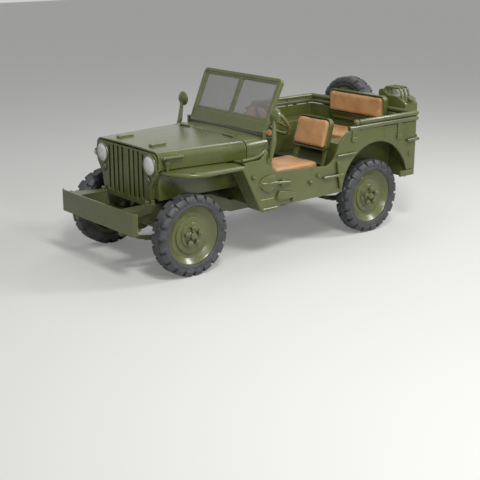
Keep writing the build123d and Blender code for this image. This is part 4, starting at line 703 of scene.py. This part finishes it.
# the colour has aged in patches of about 120 mm, and the coating is crazed in cells of about 22 mm
age = put(tree, "TexNoise", {"Vector": place, "Scale": 1 / 0.12, "Detail": 5.0, "Roughness": 0.6})["Fac"]
age = put(tree, "MapRange", {"Value": age, 1: 0.35, 2: 0.68})[0]
tint = put(tree, "Mix", {0: age, 6: linear("#c48f5c"), 7: linear("#d8a878")}, data_type="RGBA")[2]
crack = put(tree, "TexVoronoi", {"Vector": place, "Scale": 1 / 0.022}, feature="DISTANCE_TO_EDGE")["Distance"]
crack = put(tree, "MapRange", {"Value": crack, 1: 0.0, 2: 0.08, 3: 0.85, 4: 1.0})[0]
tint = put(tree, "Mix", {0: 1.0, 6: tint, 7: crack}, data_type="RGBA", blend_type="MULTIPLY")[2]
axes = put(tree, "SeparateXYZ", {0: place})
threads = []
for axis in ("X", "Y", "Z"):
    turns = put(tree, "Math", {0: axes[axis], 1: 2 * pi / 0.005}, operation="MULTIPLY")[0]
    threads.append(put(tree, "Math", {0: turns}, operation="SINE")[0])
weave = put(tree, "Math", {0: threads[0], 1: threads[1]}, operation="MULTIPLY")[0]
weave = put(tree, "Math", {0: weave, 1: threads[2]}, operation="ADD")[0]
fine = put(tree, "Bump", {"Height": weave, "Strength": 0.10, "Distance": 0.0008})["Normal"]
relief = put(tree, "Bump", {"Height": crack, "Strength": 0.25, "Distance": 0.002, "Normal": fine})["Normal"]
shine = put(tree, "MapRange", {"Value": age, 3: 0.40, 4: 0.55})[0]
shader = put(tree, "BsdfPrincipled", {"Base Color": tint, "Roughness": shine, "Normal": relief, "Sheen Weight": 0.15,
                                      "Sheen Roughness": 0.4})["BSDF"]
put(tree, "OutputMaterial", {"Surface": shader})


def stuffed(name, rest, normal, slack):
    """Blow up a pad from its CAD solid as a sewn cloth bag, keep it flat where it rests, and crease its cover."""
    source = frame["nodes"][name]
    form = bmesh.new()
    form.from_mesh(source.data)
    bmesh.ops.remove_doubles(form, verts=form.verts, dist=WELD)
    low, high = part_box(name)
    middle = (low + high) / 2
    size = high - low
    shrink = [1 - (2 if s > THIN else 1) * slack * GIVE / s for s in size]
    bmesh.ops.scale(form, vec=shrink, space=Matrix.Translation(-middle), verts=form.verts)
    mesh = bpy.data.meshes.new(name + "_bag")
    form.to_mesh(mesh)
    form.free()
    bag = bpy.data.objects.new(name + "_bag", mesh)
    sewing_room = bpy.data.scenes.new("sewing_room")
    sewing_room.collection.objects.link(bag)
    table_top = sewing_room.view_layers[0]
    skin = bag.modifiers.new("skin", "REMESH")
    skin.mode = "VOXEL"
    skin.voxel_size = VOXEL
    table_top.update()
    sewn = bpy.data.meshes.new_from_object(bag.evaluated_get(table_top.depsgraph))
    bag.modifiers.remove(skin)
    bag.data = sewn
    bpy.data.meshes.remove(mesh)
    start = [v.co.copy() for v in sewn.vertices]
    cloth = bag.modifiers.new("cloth", "CLOTH")
    cloth.settings.quality = 4
    cloth.settings.mass = 0.3
    cloth.settings.tension_stiffness = 14
    cloth.settings.compression_stiffness = 14
    cloth.settings.bending_stiffness = 0.6
    cloth.settings.use_pressure = True
    cloth.settings.uniform_pressure_force = 4.0
    cloth.settings.effector_weights.gravity = 0.0
    for step in range(1, 21):
        sewing_room.frame_set(step)
    blown = bpy.data.meshes.new_from_object(bag.evaluated_get(table_top.depsgraph))
    bag.modifiers.remove(cloth)
    bag.data = blown
    bpy.data.meshes.remove(sewn)
    cover = bag.data
    base, up = Vector(rest), Vector(normal)
    outward = [v.normal.copy() for v in cover.vertices]
    for vertex, before, out in zip(cover.vertices, start, outward):
        move = vertex.co - before
        if move.length > slack:
            move = move.normalized() * slack
        spot = before + move
        # sitting creases: long soft folds of about 90 mm
        fold = noise.noise(Vector((spot.x * 9, spot.y * 14, spot.z * 9)) + Vector((3.1, 0.7, 1.9)))
        spot += out * (FOLD_DEEP * fold)
        height = (spot - base).dot(up)
        if height < REST_GAP:
            spot += up * (REST_GAP - height)
        vertex.co = spot
    cover.shade_smooth()
    cover.materials.clear()
    cover.materials.append(seat_cloth)
    bag.name = name + "_stuffed"
    sewing_room.collection.objects.unlink(bag)
    bpy.data.scenes.remove(sewing_room)
    bpy.context.scene.collection.objects.link(bag)
    fine_cover = bag.modifiers.new("cover", "SUBSURF")
    fine_cover.levels = 1
    fine_cover.render_levels = 1
    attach(bag, source["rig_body"])
    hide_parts(name)


for name, rest, normal, slack in PADS:
    stuffed(name, rest, normal, slack)

# Tail lamps: small domes of red glass in the round bosses of the rear panel, each held by a painted ring that is
# screwed over its edge.
tail_glass = enamel("red_tail_glass", "#5a1512", "#6c1c17", "#8c4038", "#8b8468", "#240806", 0.2, 0.2, 0.0)
TAIL = Vector((FRONT_AXLE - 2.582, 0.590, 0.640))
TAIL_DOME = [(-0.012, 0.0), (-0.0105, 0.012), (-0.006, 0.021), (0.001, 0.0265)]
TAIL_RING = [(0.0, 0.025), (-0.004, 0.026), (-0.006, 0.029), (-0.004, 0.033), (0.001, 0.035)]
tails, tail_rings = bmesh.new(), bmesh.new()
for form, outline in ((tails, TAIL_DOME), (tail_rings, TAIL_RING)):
    turned(form, [TAIL + Vector((x, 0, r)) for x, r in outline], 36, TAIL, (1, 0, 0))
    both_sides(form)
placed("tail_lamp_glass", tails, tail_glass, "chassis")
placed("tail_lamp_rings", tail_rings, body_paint, "chassis")

# Studio: a pale floor under a pale sky, soft boxes in front, beside, above and behind the car, and the camera at
# the photograph's angle. The box at the rear left draws the bright lines along the edges.
FLOOR_GLOW = 0.16  # what the camera sees more of the floor than its lit colour
SKY_LIGHT, SKY_SEEN = 0.22, 0.70  # how strongly the sky lights, and how pale it looks
floor_mesh = bpy.data.meshes.new("studio_floor")
sheet = bmesh.new()
bmesh.ops.create_grid(sheet, x_segments=1, y_segments=1, size=30.0)
sheet.to_mesh(floor_mesh)
sheet.free()
studio_floor = bpy.data.objects.new("studio_floor", floor_mesh)
bpy.context.scene.collection.objects.link(studio_floor)
pale = bpy.data.materials.new("pale_studio_floor")
pale.use_nodes = True
pale.node_tree.nodes.clear()
seen = put(pale.node_tree, "LightPath", {})["Is Camera Ray"]
lift = put(pale.node_tree, "Math", {0: seen, 1: FLOOR_GLOW}, operation="MULTIPLY")[0]
shader = put(pale.node_tree, "BsdfPrincipled", {"Base Color": linear("#d6d6d2"), "Roughness": 0.7,
                                                "Emission Strength": lift,
                                                "Emission Color": linear("#f2f3f2")})["BSDF"]
put(pale.node_tree, "OutputMaterial", {"Surface": shader})
floor_mesh.materials.append(pale)

world = bpy.data.worlds.new("studio")
world.use_nodes = True
bpy.context.scene.world = world
world.node_tree.nodes.clear()
ray = put(world.node_tree, "LightPath", {})
seen = put(world.node_tree, "Math", {0: ray["Is Camera Ray"], 1: ray["Is Glossy Ray"]}, operation="MAXIMUM")[0]
seen = put(world.node_tree, "Math", {0: seen, 1: ray["Is Transmission Ray"]}, operation="MAXIMUM")[0]
strength = put(world.node_tree, "MapRange", {"Value": seen, 3: SKY_LIGHT, 4: SKY_SEEN})[0]
glow = put(world.node_tree, "Background", {"Color": linear("#f2f3f2"), "Strength": strength})[0]
put(world.node_tree, "OutputWorld", {"Surface": glow})

SOFT_BOXES = [  # name, place, aimed at, size, watts
    ("key", (2.4, 4.4, 6.2), (0.3, 0.2, 0.6), 1.4, 230.0),
    ("edge", (-4.4, 3.2, 4.8), (0.0, 0.3, 0.7), 1.6, 170.0),
    ("left_side", (2.0, 6.8, 3.4), (0.3, 0.3, 0.7), 0.9, 100.0),
    ("overhead", (0.2, -0.8, 5.0), (0.1, 0.1, 0.6), 2.2, 14.0),
    ("ahead", (6.5, -1.5, 2.6), (0.5, 0.0, 0.7), 2.0, 10.0),
    ("right_rear", (-3.6, -2.2, 6.4), (-0.3, 0.0, 0.8), 2.0, 40.0),
]
for name, place, aim, size, watts in SOFT_BOXES:
    lamp = bpy.data.lights.new(name, "AREA")
    lamp.size = size
    lamp.energy = watts
    lamp_object = bpy.data.objects.new(name, lamp)
    lamp_object.location = place
    lamp_object.rotation_euler = (Vector(aim) - Vector(place)).to_track_quat("-Z", "Y").to_euler()
    bpy.context.scene.collection.objects.link(lamp_object)

AZIMUTH = radians(140.40)
ELEVATION = radians(16.78)
AIM = Vector((0.232, 0.1429, 0.0112))
DISTANCE = 9.193
lens = bpy.data.cameras.new("camera")
lens.lens = 77.0
lens.sensor_width = 36.0
camera = bpy.data.objects.new("camera", lens)
back = Vector((sin(AZIMUTH) * cos(ELEVATION), -cos(AZIMUTH) * cos(ELEVATION), sin(ELEVATION)))
camera.location = AIM + back * DISTANCE
camera.rotation_euler = (-back).to_track_quat("-Z", "Y").to_euler()
bpy.context.scene.collection.objects.link(camera)
bpy.context.scene.camera = camera
bpy.context.scene.view_settings.view_transform = "Standard"
